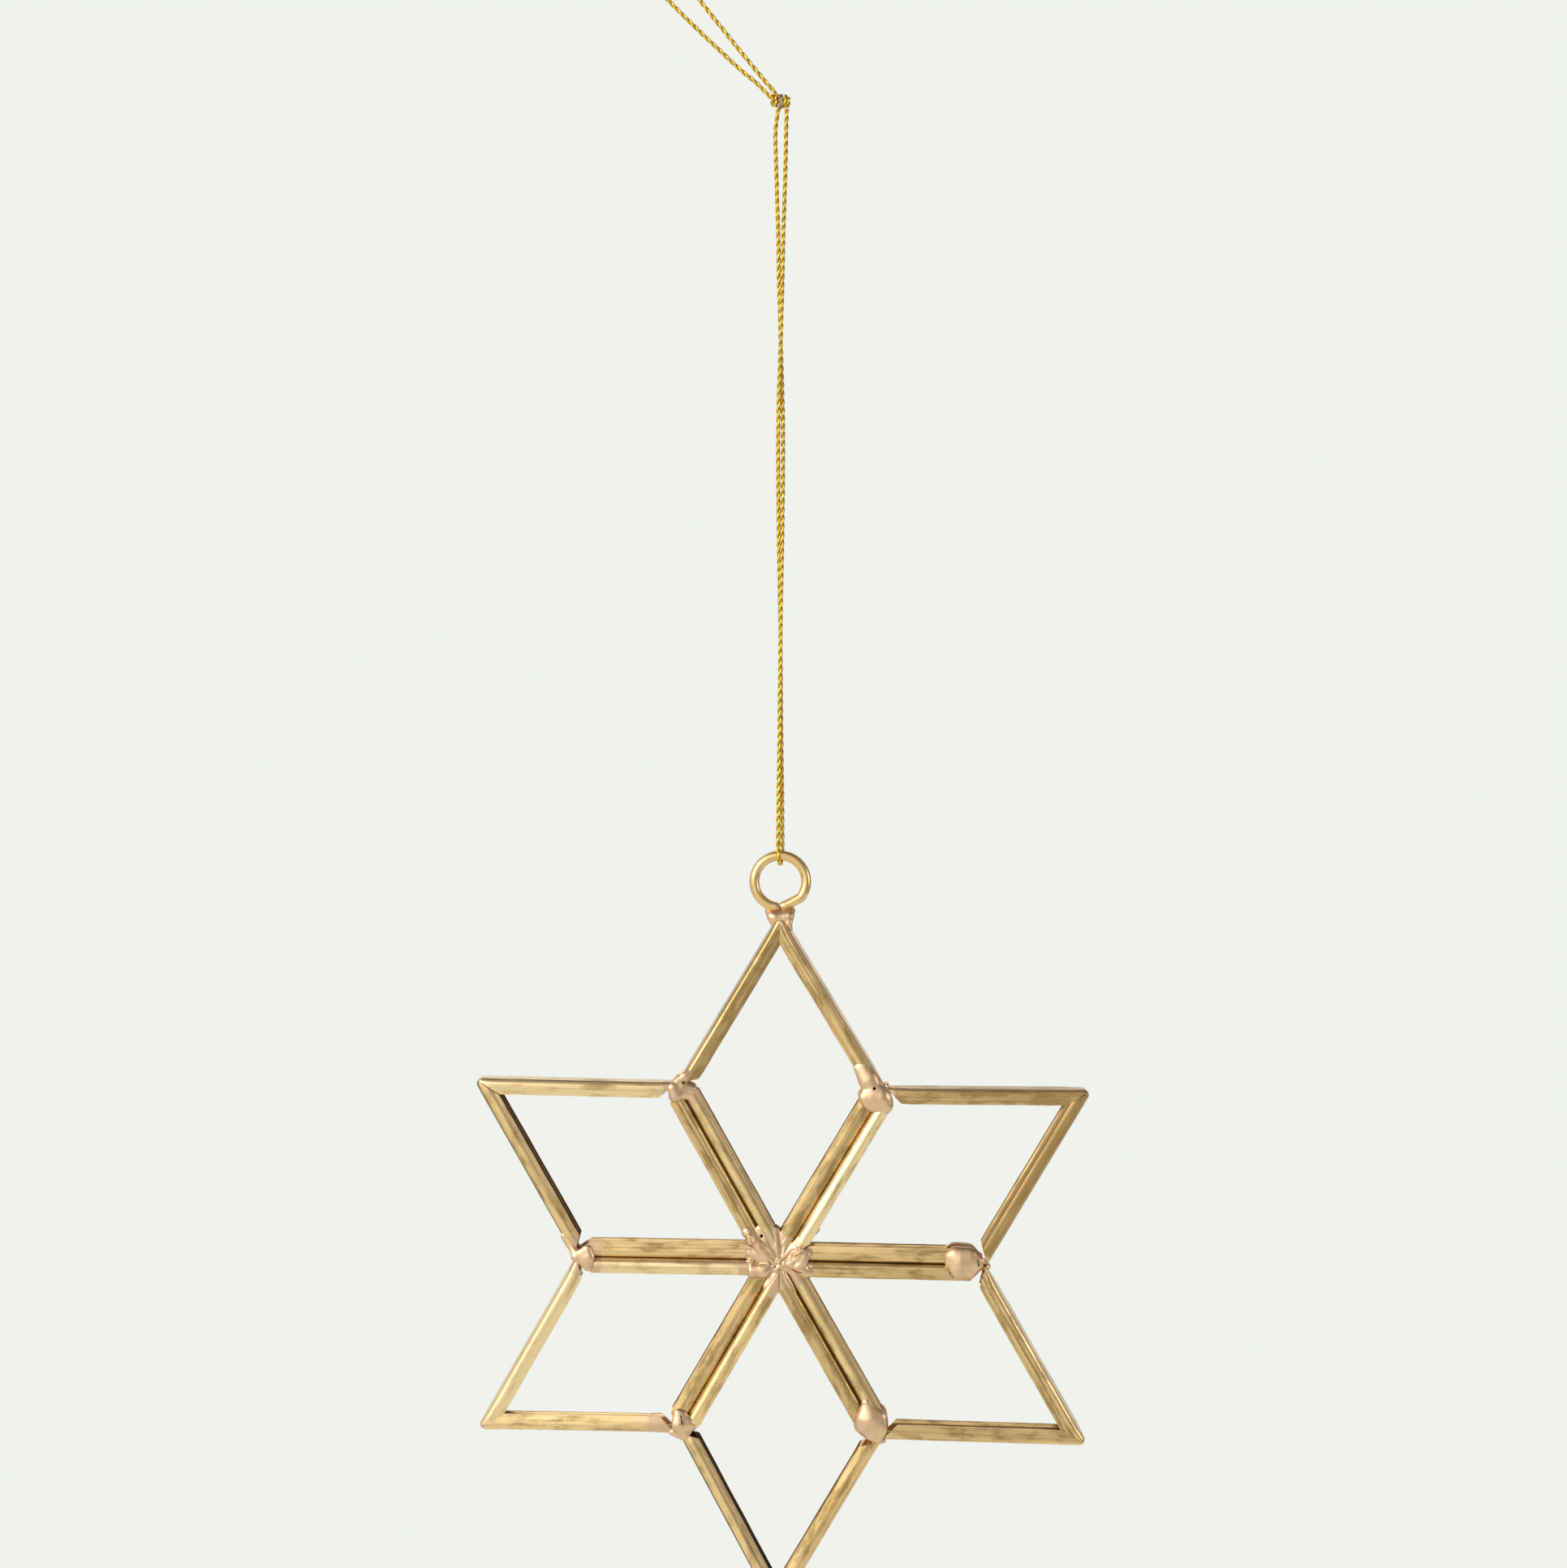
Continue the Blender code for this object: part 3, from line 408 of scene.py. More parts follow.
# The paper sweep: how far back the wall stands, the floor's height, the bend, half the width
WALL, FLOOR, SWEEP_BEND, SWEEP_HALF = 1.6, -0.85, 0.6, 1.5
SWEEP_FRONT, SWEEP_TOP, SWEEP_STEPS = -2.0, 2.4, 12  # its two edges, and steps in its bend

# Colours that the panel doesn't show
PALE_BRASS = (0.88, 0.68, 0.37)
BRASS_SPECK = (0.20, 0.10, 0.03)
# dark of the painted shade in the seams beside the webs and inside the channels
PAINTED_SHADE_COLOUR = (0.075, 0.036, 0.010)
SOLDER_SPECK = (0.25, 0.15, 0.08)
# dark of the painted shade in the solder's pits and creases
HOLLOW_SHADE_COLOUR = (0.045, 0.022, 0.010)
WIRE_SPECK = (0.24, 0.15, 0.06)
# dark of the cord between its threads, in patches, and as painted shade where its plies meet;
# TAN_DARK the same for the tan turn
CORD_DARK = (0.20, 0.095, 0.01)
TAN = (0.62, 0.44, 0.27)
TAN_DARK = (0.30, 0.19, 0.10)


def length_of(name, description, default, low, high):
    """One length of the panel, in metres."""
    limits = {"min": low, "max": high, "precision": 5, "unit": "LENGTH"}
    return FloatProperty(name=name, description=description, default=default, **limits)


def colour_of(name, description, default):
    """One colour of the panel."""
    limits = {"subtype": "COLOR", "size": 3, "min": 0.0, "max": 1.0}
    return FloatVectorProperty(name=name, description=description, default=default, **limits)


class StarSizes(bpy.types.PropertyGroup):
    bar_width: length_of(
        "Bar width", "From the web's outer face to the flanges' free edges", 0.0026, 0.0018, 0.0032
    )
    channel_depth: length_of(
        "Channel depth", "Over both flanges of the folded channel", 0.0035, 0.0025, 0.0038
    )
    sheet: length_of(
        "Sheet thickness",
        "Thickness of the brass that the frames are folded from",
        0.0003,
        0.0002,
        0.0005,
    )
    fold_radius: length_of(
        "Fold radius", "Outside radius between the web and a flange", 0.0007, 0.0004, 0.0010
    )
    ring_outer: length_of(
        "Ring diameter", "Outside diameter of the wire ring", 0.0104, 0.0090, 0.0106
    )
    ring_wire: length_of("Ring wire", "Diameter of the ring's wire", 0.0017, 0.0012, 0.0019)
    cord: length_of("Cord diameter", "Over both plies of the gold cord", 0.0007, 0.0005, 0.0009)
    cord_pitch: length_of(
        "Cord pitch", "Length of one full twist of the cord's plies", 0.0028, 0.0015, 0.0060
    )


class StarColours(bpy.types.PropertyGroup):
    brass: colour_of("Brass", "Clean brass of the frames", (0.85, 0.59, 0.265))
    tarnish: colour_of("Tarnish", "Brown and olive patches on the brass", (0.31, 0.185, 0.05))
    solder: colour_of("Solder", "Pinkish solder of the joints", (0.70, 0.465, 0.268))
    cord: colour_of("Cord", "Metallic gold thread", (1.0, 0.67, 0.105))
    paper: colour_of("Paper", "Floor and backdrop", (0.847, 0.871, 0.831))


def smooth_step(low, high, value):
    share = min(max((value - low) / (high - low), 0.0), 1.0)
    return share * share * (3 - 2 * share)


# ---- Layout


def polar(angle_deg, reach):
    angle = math.radians(angle_deg)
    return Vector((math.cos(angle), math.sin(angle))) * reach


def layout():
    """The star's points and notches, across and up."""
    points = {}
    notches = {}
    for i, name in enumerate(POINT_ORDER):
        spot = polar(90 + 60 * i, SIDE_LENGTH * math.sqrt(3))
        points[name] = STAR_CENTRE + spot + Vector(POINTS_OFF[name])
    for i, name in enumerate(NOTCH_ORDER):
        spot = polar(90 + 60 * (i + 0.5), SIDE_LENGTH)
        notches[name] = STAR_CENTRE + spot + Vector(NOTCHES_OFF[name])
    return points, notches


def crossing(one, two):
    (p, u), (q, v) = one, two
    return p + u * ((q - p).cross(v) / u.cross(v))


class Corner:
    """One corner of a frame's outline."""

    def __init__(self, line_in, line_out, off_in, off_out, bend, steps):
        self.here = crossing(line_in, line_out)
        self.along_in = line_in[1]
        self.along_out = line_out[1]
        self.inward_in = Vector((-self.along_in.y, self.along_in.x))
        self.inward_out = Vector((-self.along_out.y, self.along_out.x))
        self.off_in = off_in
        self.off_out = off_out
        self.bend = bend
        self.steps = steps

    def inset(self, distance):
        rows = Matrix((self.inward_in, self.inward_out))
        moved = Vector((self.off_in + distance, self.off_out + distance))
        return self.here + rows.inverted() @ moved

    def bisector(self):
        return (self.inward_in + self.inward_out).normalized()

    def stations(self, distance):
        if distance >= self.bend:
            return [self.inset(distance)] * (self.steps + 1)
        middle = self.inset(self.bend)
        start = math.atan2(-self.inward_in.y, -self.inward_in.x)
        turn = self.inward_in.angle_signed(self.inward_out)
        angles = [start - turn * i / self.steps for i in range(self.steps + 1)]
        radius = self.bend - distance
        return [middle + Vector((math.cos(a), math.sin(a))) * radius for a in angles]


def seam(name, notches):
    """Both ends of the seam between two frames: near the centre and at their notch."""
    out = (notches[name] - STAR_CENTRE).normalized()
    left = Vector((-out.y, out.x))
    at_centre, at_notch = SEAMS_OFF[name]
    return STAR_CENTRE + left * at_centre, notches[name] + left * at_notch


def frame_corners(name, points, notches):
    """A frame's corners, anticlockwise from the star's centre."""
    i = POINT_ORDER.index(name)
    right = NOTCH_ORDER[i - 1]
    left = NOTCH_ORDER[i]
    right_start, right_end = seam(right, notches)
    left_start, left_end = seam(left, notches)
    lines = []
    for start, end in (
        (right_start, right_end),
        (notches[right], points[name]),
        (points[name], notches[left]),
        (left_end, left_start),
    ):
        lines.append((start, (end - start).normalized()))
    offs = [SEAM_GAP / 2, 0.0, 0.0, SEAM_GAP / 2]
    notch = (NOTCH_BEND, NOTCH_BEND_STEPS)
    bends = [(0.0, 0), notch, (POINT_BEND, BEND_STEPS), notch]
    corners = []
    for k, (bend, steps) in enumerate(bends):
        corners.append(Corner(lines[k - 1], lines[k], offs[k - 1], offs[k], bend, steps))
    return corners


# ---- Mesh helpers


def finish_piece(obj, node, material=None):
    """Rides the piece on the root, hides the node it stands for and names its finish."""
    if material:
        obj.data.materials.clear()
        obj.data.materials.append(material)
    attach(obj, "root")
    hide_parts(node)


def linked(name, data):
    """A new object in the scene."""
    obj = bpy.data.objects.new(name, data)
    bpy.context.scene.collection.objects.link(obj)
    return obj


def drawn(name, bm):
    """A new object of the drawn points and faces, as they are."""
    mesh = bpy.data.meshes.new(name)
    bm.to_mesh(mesh)
    bm.free()
    return linked(name, mesh)


def object_of(name, bm):
    """The same with doubled points joined and all faces turned outward."""
    bmesh.ops.remove_doubles(bm, verts=bm.verts, dist=1e-7)
    bmesh.ops.recalc_face_normals(bm, faces=bm.faces)
    return drawn(name, bm)


def join_rings(bm, rings):
    """Faces between each ring of points and the next."""
    for one, two in zip(rings, rings[1:]):
        for j in range(len(one)):
            k = (j + 1) % len(one)
            bm.faces.new((one[j], one[k], two[k], two[j]))


def tube(bm, rings):
    """The same with both ends closed."""
    join_rings(bm, rings)
    bm.faces.new(rings[0][::-1])
    bm.faces.new(rings[-1])


def apply_modifiers(obj):
    """Replaces the object's mesh by what its modifiers make of it."""
    graph = bpy.context.evaluated_depsgraph_get()
    made = bpy.data.meshes.new_from_object(obj.evaluated_get(graph))
    old = obj.data
    obj.modifiers.clear()
    obj.data = made
    made.name = obj.name
    bpy.data.meshes.remove(old)


def shade_round(obj, sharp_deg):
    obj.data.shade_smooth()
    obj.data.set_sharp_from_angle(angle=math.radians(sharp_deg))


def prism(bm, outline, low, high):
    front = [bm.verts.new((p.x, low, p.y)) for p in outline]
    back = [bm.verts.new((p.x, high, p.y)) for p in outline]
    bm.faces.new(front)
    bm.faces.new(back[::-1])
    for i in range(len(outline)):
        j = (i + 1) % len(outline)
        bm.faces.new((front[i], back[i], back[j], front[j]))


# ---- Frames


def channel_profile(sizes):
    """The U-section, finely stepped: (distance in from the web's outer face, depth)."""
    width, fold = sizes.bar_width, sizes.fold_radius
    half = sizes.channel_depth / 2
    middle = half - fold
    quarter = [math.pi / 2 * i / FOLD_STEPS for i in range(FOLD_STEPS)]

    def side_of(radius, at):
        """One side from the free edge of the front flange to that of the back flange."""
        line = [(width + (fold - width) * i / FLANGE_STEPS, -at) for i in range(FLANGE_STEPS)]
        line += [(fold - radius * math.sin(a), -middle - radius * math.cos(a)) for a in quarter]
        line += [(fold - radius, -middle + 2 * middle * i / WEB_STEPS) for i in range(WEB_STEPS)]
        line += [(fold - radius * math.cos(a), middle + radius * math.sin(a)) for a in quarter]
        line += [(fold + (width - fold) * i / FLANGE_STEPS, at) for i in range(FLANGE_STEPS + 1)]
        return line

    return side_of(fold, half) + side_of(fold - sizes.sheet, half - sizes.sheet)[::-1]


def snip_outline(corner, sizes):
    root = sizes.sheet + SNIP_ROOT
    tip = corner.inset(root)
    across = sizes.bar_width - root + PAST
    near_in = tip - corner.along_in * SNIP_SETBACK
    near_out = tip + corner.along_out * SNIP_SETBACK
    far_in = near_in - corner.along_in * across + corner.inward_in * across
    far_out = near_out + corner.along_out * across + corner.inward_out * across
    return [near_in, tip, near_out, far_out, far_in]


def slit_outline(corner, sizes):
    along = corner.bisector()
    side = Vector((-along.y, along.x)) * MITRE_GAP / 2
    start = corner.inset(POINT_BEND) - along * (POINT_BEND - sizes.sheet - SNIP_ROOT)
    end = corner.inset(sizes.bar_width) + along * PAST
    return [start - side, end - side, end + side, start + side]


def ends_outline(corner, sizes):
    along = corner.bisector()
    side = Vector((-along.y, along.x))
    offset = (corner.here - STAR_CENTRE).dot(side)
    far = (corner.inset(sizes.bar_width) - STAR_CENTRE).dot(along) + PAST
    room = CORE_ROOM * 2
    half = END_GAP / 2
    shape = [
        (-room, -room),
        (CORE_ROOM, -room),
        (CORE_ROOM, offset - half),
        (far, offset - half),
        (far, offset + half),
        (CORE_ROOM, offset + half),
        (CORE_ROOM, room),
        (-room, room),
    ]
    return [STAR_CENTRE + along * a + side * s for a, s in shape]


def bar_place(p, corners):
    """The bar that a point lies on, how far along it, how far in from its web, its length."""
    found = []
    for k, corner in enumerate(corners):
        off = p - corner.here
        length = (corners[(k + 1) % 4].here - corner.here).length
        found.append((off.dot(corner.inward_out), k, off.dot(corner.along_out), length))
    inset, k, along, length = min(found)
    return k, along, inset, length


def write_attribute(mesh, name, values):
    """Keeps one number or one vector per point on the mesh, for its material to read."""
    values = np.array(values)
    kind, field = ("FLOAT_VECTOR", "vector") if values.ndim == 2 else ("FLOAT", "value")
    mesh.attributes.new(name, kind, "POINT").data.foreach_set(field, values.ravel())


def shape_bars(obj, name, corners, sizes):
    """Bends, crowns and twists the straight bars as the handwork left them."""
    mesh = obj.data
    looks = {"bar": [], "film": [], "tone": [], "painted_shade": []}
    half = sizes.channel_depth / 2
    width = sizes.bar_width
    seed = POINT_ORDER.index(name) * 4
    for vert in mesh.vertices:
        flat = Vector((vert.co.x, vert.co.z))
        k, along, inset, length = bar_place(flat, corners)
        bar = BARS[name][k]
        corner = corners[k]
        depth = vert.co.y
        side = 1.0 if depth > 0 else -1.0
        within = abs(depth) < half - sizes.sheet / 2 and inset > sizes.sheet / 2
        away = min(along, length - along)
        free = smooth_step(*FREE_RUN, away)
        share = min(max(inset / width, 0.0), 1.0)
        from_web = inset * 1000
        near_face = smooth_step(half - FACE_RUN[0], half - FACE_RUN[1], abs(depth))
        if within and depth > 0:
            depth += BACK_FLARE * smooth_step(width - FLARE_RUN, width, inset)
        looks["bar"].append((along, inset + ROUND_FOLD * depth, seed + k))
        film = max(
            smooth_step(FILM_EDGE, -FILM_EDGE, along * 1000 - bar.film_start),
            smooth_step(FILM_EDGE, -FILM_EDGE, (length - along) * 1000 - bar.film_end),
            bar.rim * smooth_step(*RIM_RUN, from_web) * near_face,
        )
        looks["film"].append(film)
        looks["tone"].append(bar.tone)
        # painted shade: dark beside the web, in the seam between two channels, and inside the
        # channel
        seam_shade = bar.dark * smooth_step(*SEAM_SHADE_RUN, from_web) * near_face
        looks["painted_shade"].append(bar.inner if within else seam_shade)
        wave = noise.noise(Vector((along * 140, share * 1.5, seed + k + 0.3)))
        slow = noise.noise(Vector((along * 60, side * 3, seed + k + 7.7)))
        on_flange = smooth_step(0.04, 0.22, share) * min(abs(depth) / half, 1.0) ** 4
        rise = bar.crown * (math.sin(math.pi * share) - 0.25 * smooth_step(0.5, 1.0, share))
        rise += (from_web - width * 500) * math.tan(math.radians(bar.lean))
        rise += bar.lip * smooth_step(0.80, 1.0, share)
        dent = (from_web - bar.groove_at - 0.12 * slow) / GROOVE_WIDTH
        rise -= bar.groove * math.exp(-dent * dent) * (0.8 + 0.5 * wave)
        depth += side * on_flange * free * (rise / 1000 + FINE_WAVE * wave + LONG_WAVE * slow)
        edge = smooth_step(0.55, 1.0, share) * free
        edge_wave = EDGE_WAVE * noise.noise(Vector((along * 190, side, seed + k)))
        inset_new = inset + edge * edge_wave
        if bar.twist:
            turn = math.radians(bar.twist) * smooth_step(*TWIST_RUN, away)
            a, b = inset_new - width / 2, depth
            inset_new = width / 2 + a * math.cos(turn) - b * math.sin(turn)
            depth = a * math.sin(turn) + b * math.cos(turn)
        flat = flat + corner.inward_out * (inset_new - inset)
        vert.co = (flat.x, depth, flat.y)
    for key, values in looks.items():
        write_attribute(mesh, key, values)
    mesh.update()


def build_frame(name, points, notches, sizes, material):
    """One frame: the fine channel swept round its rhombus, snipped and slit, then shaped."""
    corners = frame_corners(name, points, notches)
    bm = bmesh.new()
    columns = []
    for inset, depth in channel_profile(sizes):
        ring = []
        stops = [corner.stations(inset) for corner in corners]
        for stop, after in zip(stops, stops[1:] + stops[:1]):
            ring.extend(stop)
            for i in range(1, BAR_STATIONS):
                ring.append(stop[-1].lerp(after[0], i / BAR_STATIONS))
        columns.append([bm.verts.new((p.x, depth, p.y)) for p in ring])
    join_rings(bm, [*columns, columns[0]])
    obj = object_of("brass_frame_" + name, bm)
    middle, right, point, left = corners
    cuts = bmesh.new()
    reach = sizes.channel_depth / 2 + PAST
    for outline in (
        snip_outline(right, sizes),
        snip_outline(left, sizes),
        slit_outline(point, sizes),
        ends_outline(middle, sizes),
    ):
        prism(cuts, outline, -reach, reach)
    tool = object_of("snips", cuts)
    cut = obj.modifiers.new("snips", "BOOLEAN")
    cut.operation = "DIFFERENCE"
    cut.object = tool
    cut.solver = "EXACT"
    apply_modifiers(obj)
    bpy.data.objects.remove(tool)
    shape_bars(obj, name, corners, sizes)
    shade_round(obj, 40)
    finish_piece(obj, "frame_" + name, material)


# ---- Solder


def grid_over(low, high, step):
    """Places of a regular grid, in mm, as three arrays: across, depth, up."""
    axes = [np.arange(a, b, step) for a, b in zip(low, high)]
    return np.meshgrid(*axes, indexing="ij")


def bar_gap(grid, start, end, radii, flat=1.0):
    """Each place's distance from a bar with round ends; flat squashes the bar in depth."""
    across, depth, up = (axis - value for axis, value in zip(grid, start))
    run = [b - a for a, b in zip(start, end)]
    length = sum(v * v for v in run) + 1e-9
    share = np.clip((across * run[0] + depth * run[1] + up * run[2]) / length, 0.0, 1.0)
    gap = (across - share * run[0]) ** 2
    gap += ((depth - share * run[1]) / flat) ** 2
    gap += (up - share * run[2]) ** 2
    return np.sqrt(gap) - (radii[0] + (radii[1] - radii[0]) * share)


def melted(gaps, blend):
    """One field from several, which run together where they are close, as solder does."""
    total = 0.0
    for gap in gaps:
        total = total + np.exp(-gap / blend)
    return -blend * np.log(np.maximum(total, 1e-200))


def face_solder(grid, rows, cuts, face, share, blend, creases=()):
    """The solder on one face of the star: rows as low bars, less pits and creases in them."""
    side = -1.0 if face < 0 else 1.0
    top = face + side * (CUT_LEVEL[0] + CUT_LEVEL[1] * share)
    gaps = []
    for x0, z0, x1, z1, r0, r1, h0, h1 in rows:
        deep0 = face + side * share * (h0 - r0 * FLATNESS)
        deep1 = face + side * share * (h1 - r1 * FLATNESS)
        gaps.append(bar_gap(grid, (x0, deep0, z0), (x1, deep1, z1), (r0, r1), FLATNESS * share))

    def hole(x0, z0, x1, z1, radius, depth):
        return bar_gap(grid, (x0, top, z0), (x1, top, z1), (radius, radius), depth / radius)

    field = melted(gaps, blend)
    for cut in cuts:
        field = np.maximum(field, -hole(*cut))
    for crease in creases:
        field = -melted([-field, hole(*crease)], CREASE_BLEND)
    return np.maximum(field, side * face - side * grid[1] - SUNK)


def skin(name, field, low, step, middle, wobble, seed, hollow_shade=()):
    """A closed object round the places where the field is below nought."""
    total = np.zeros(field.shape + (3,))
    count = np.zeros(field.shape)
    crossings = []
    for axis in range(3):
        here = [slice(None)] * 3
        ahead = [slice(None)] * 3
        here[axis] = slice(0, -1)
        ahead[axis] = slice(1, None)
        one, two = field[tuple(here)], field[tuple(ahead)]
        found = np.argwhere((one < 0) != (two < 0))
        at = tuple(found.T)
        place = found.astype(float)
        place[:, axis] += one[at] / (one[at] - two[at])
        cells = []
        for back_u, back_v in ((0, 0), (1, 0), (1, 1), (0, 1)):
            cell = found.copy()
            cell[:, (axis + 1) % 3] -= back_u
            cell[:, (axis + 2) % 3] -= back_v
            np.add.at(total, tuple(cell.T), place)
            np.add.at(count, tuple(cell.T), 1)
            cells.append(cell)
        crossings.append((cells, one[at] < 0))
    used = np.argwhere(count > 0)
    number = np.full(field.shape, -1)
    number[tuple(used.T)] = np.arange(len(used))
    spots = total[tuple(used.T)] / count[tuple(used.T)][:, None] * step + np.array(low)
    quads = []
    for cells, outward in crossings:
        quad = np.stack([number[tuple(cell.T)] for cell in cells], axis=1)
        quad[~outward] = quad[~outward][:, ::-1]
        quads.append(quad)
    corners = np.array([middle.x, 0.0, middle.y]) + spots / 1000
    mesh = bpy.data.meshes.new(name)
    mesh.from_pydata(corners.tolist(), [], np.concatenate(quads).tolist())
    mesh.update()
    normals = np.empty(corners.size)
    mesh.vertices.foreach_get("normal", normals)
    shifts = [noise.noise(Vector(corner) * 700 + Vector((seed, 0, 0))) for corner in corners]
    corners += normals.reshape(-1, 3) * np.array(shifts)[:, None] * wobble
    mesh.vertices.foreach_set("co", corners.ravel())
    # painted shade round the pits and along the creases, kept per point for the material
    dark = np.zeros(len(spots))
    for x, z, radius, strength in hollow_shade:
        near = 1.0 - np.hypot(spots[:, 0] - x, spots[:, 2] - z) / radius
        dark = np.maximum(dark, near * strength)
    write_attribute(mesh, "hollow_shade", dark)
    mesh.update()
    mesh.shade_smooth()
    return linked(name, mesh)


def hollow_shade_along(cuts, spread, strength):
    """Spots of painted shade along the cuts: where each lies, how far the shade reaches, how dark
    it is.
    """
    spots = []
    for x0, z0, x1, z1, radius, _ in cuts:
        steps = max(2, math.ceil(math.hypot(x1 - x0, z1 - z0) / radius))
        for i in range(steps + 1):
            x = x0 + (x1 - x0) * i / steps
            z = z0 + (z1 - z0) * i / steps
            spots.append((x, z, radius * spread, strength))
    return spots


def reach_of(rows, half):
    """The grid's corners in mm round a table of solder rows."""
    across = [v for row in rows for v in (row[0], row[2])]
    up = [v for row in rows for v in (row[1], row[3])]
    room = max(max(row[4], row[5]) for row in rows) + 3 * SKIN_STEP
    deep = half + max(max(row[6:]) for row in rows) + 3 * SKIN_STEP
    low = (min(across) - room, -deep, min(up) - room)
    return low, (max(across) + room, deep, max(up) + room)


def build_notch_solder(name, points, notches, sizes, material):
    """Solder over the channel ends at one notch, on both faces and down between them."""
    half = sizes.channel_depth / 2 * 1000
    rows, cuts = NOTCH_SOLDER[name], NOTCH_CUTS[name]
    low, high = reach_of(rows, half)
    grid = grid_over(low, high, SKIN_STEP)
    i = NOTCH_ORDER.index(name)
    here = notches[name]
    one = (points[POINT_ORDER[i]] - here).normalized()
    two = (points[POINT_ORDER[(i + 1) % 6]] - here).normalized()
    out = (one + two).normalized()
    fields = [
        face_solder(grid, rows, cuts, -half, 1.0, NOTCH_BLEND),
        face_solder(grid, rows, [], half, BACK_SHARE, NOTCH_BLEND),
    ]
    for outward, radius, below in NOTCH_NECKS:
        at = (here + out * outward - STAR_CENTRE) * 1000
        end = half - below
        fields.append(bar_gap(grid, (at.x, -end, at.y), (at.x, end, at.y), (radius, radius)))
    field = melted(fields, NECK_BLEND)
    hollow_shade = hollow_shade_along(cuts, *PIT_SHADE)
    shape = (field, low, SKIN_STEP, STAR_CENTRE, NOTCH_WOBBLE)
    obj = skin("solder_at_" + name, *shape, i + 1, hollow_shade)
    finish_piece(obj, "solder_notch_" + name, material)


def build_middle_solder(sizes, material):
    """Solder over the pinched ends of all twelve channels, on both faces."""
    half = sizes.channel_depth / 2 * 1000
    low, high = reach_of(MIDDLE_SOLDER, half)
    side = max(-low[0], high[0])
    low, high = (-side, *low[1:]), (side, *high[1:])
    grid = grid_over(low, high, SKIN_STEP)
    turned = [(-x0, z0, -x1, z1, *rest) for x0, z0, x1, z1, *rest in MIDDLE_SOLDER]
    radius, below = MIDDLE_CORE
    end = half - below
    fields = [
        face_solder(
            grid, MIDDLE_SOLDER, MIDDLE_CUTS, -half, 1.0, MIDDLE_BLENDS[0], MIDDLE_CREASES
        ),
        face_solder(grid, turned, [], half, BACK_SHARE, MIDDLE_BLENDS[1]),
        bar_gap(grid, (0.0, -end, 0.0), (0.0, end, 0.0), (radius, radius)),
    ]
    field = melted(fields, CORE_BLEND)
    hollow_shade = hollow_shade_along(MIDDLE_CUTS, *PIT_SHADE) + hollow_shade_along(MIDDLE_CREASES, *CREASE_SHADE)
    shape = (field, low, SKIN_STEP, STAR_CENTRE, MIDDLE_WOBBLE)
    obj = skin("solder_in_the_middle", *shape, 11, hollow_shade)
    finish_piece(obj, "solder_middle", material)


# ---- Ring


def build_ring(middle, sizes, material):
    """The wire ring, open at the bottom; its right end was left nearly straight."""
    radius = (sizes.ring_outer - sizes.ring_wire) / 2
    wire = sizes.ring_wire / 2
    first, last = RING_ENDS
    tip = polar(first, radius) + Vector((0.0, TIP_LIFT))
    end = polar(STRAIGHT_TO, radius)
    line = []
    for i in range(RING_STEPS + 1):
        angle = first + (last - first) * i / RING_STEPS
        at = polar(angle, radius)
        if angle < STRAIGHT_TO:
            share = (angle - first) / (STRAIGHT_TO - first)
            at = at.lerp(tip.lerp(end, share), STRAIGHTNESS)
        at += middle
        line.append(Vector((at.x, 0.0, at.y)))
    bm = bmesh.new()
    rings = []
    for i, p in enumerate(line):
        along = (line[min(i + 1, RING_STEPS)] - line[max(i - 1, 0)]).normalized()
        out = Vector((along.z, 0.0, -along.x))
        trim = 1.0 - END_TRIM * max(0, 2 - min(i, RING_STEPS - i))
        ring = []
        for j in range(RING_SIDES):
            angle = 2 * math.pi * j / RING_SIDES
            dent = 1 + WIRE_DENTS * noise.noise(Vector((i * 0.12, j * 0.2, 3.1)))
            away = out * math.cos(angle) + Vector((0.0, 1.0, 0.0)) * math.sin(angle)
            ring.append(bm.verts.new(p + away * wire * trim * dent))
        rings.append(ring)
    tube(bm, rings)
    obj = object_of("wire_ring", bm)
    shade_round(obj, 50)
    finish_piece(obj, "hanging_ring", material)


def build_saddle(middle, sizes, material):
    """Solder that holds the ring on the top point and runs down both sides of it."""
    bottom = Vector((middle.x, middle.y - sizes.ring_outer / 2))
    low, high = SADDLE_BOX
    grid = grid_over(low, high, SADDLE_STEP)
    bars = []
    for side in (-1.0, 1.0):
        for x0, z0, x1, z1, depth0, depth1, r0, r1 in SADDLE_BARS:
            bars.append(((x0, side * depth0, z0), (x1, side * depth1, z1), (r0, r1)))
    for x0, z0, x1, z1, r0, r1 in SADDLE_CORES:
        bars.append(((x0, 0.0, z0), (x1, 0.0, z1), (r0, r1)))
    field = melted([bar_gap(grid, *bar) for bar in bars], SADDLE_BLEND)
    obj = skin("solder_under_ring", field, low, SADDLE_STEP, bottom, MIDDLE_WOBBLE, 21)
    finish_piece(obj, "solder_ring_saddle", material)


# ---- Cord


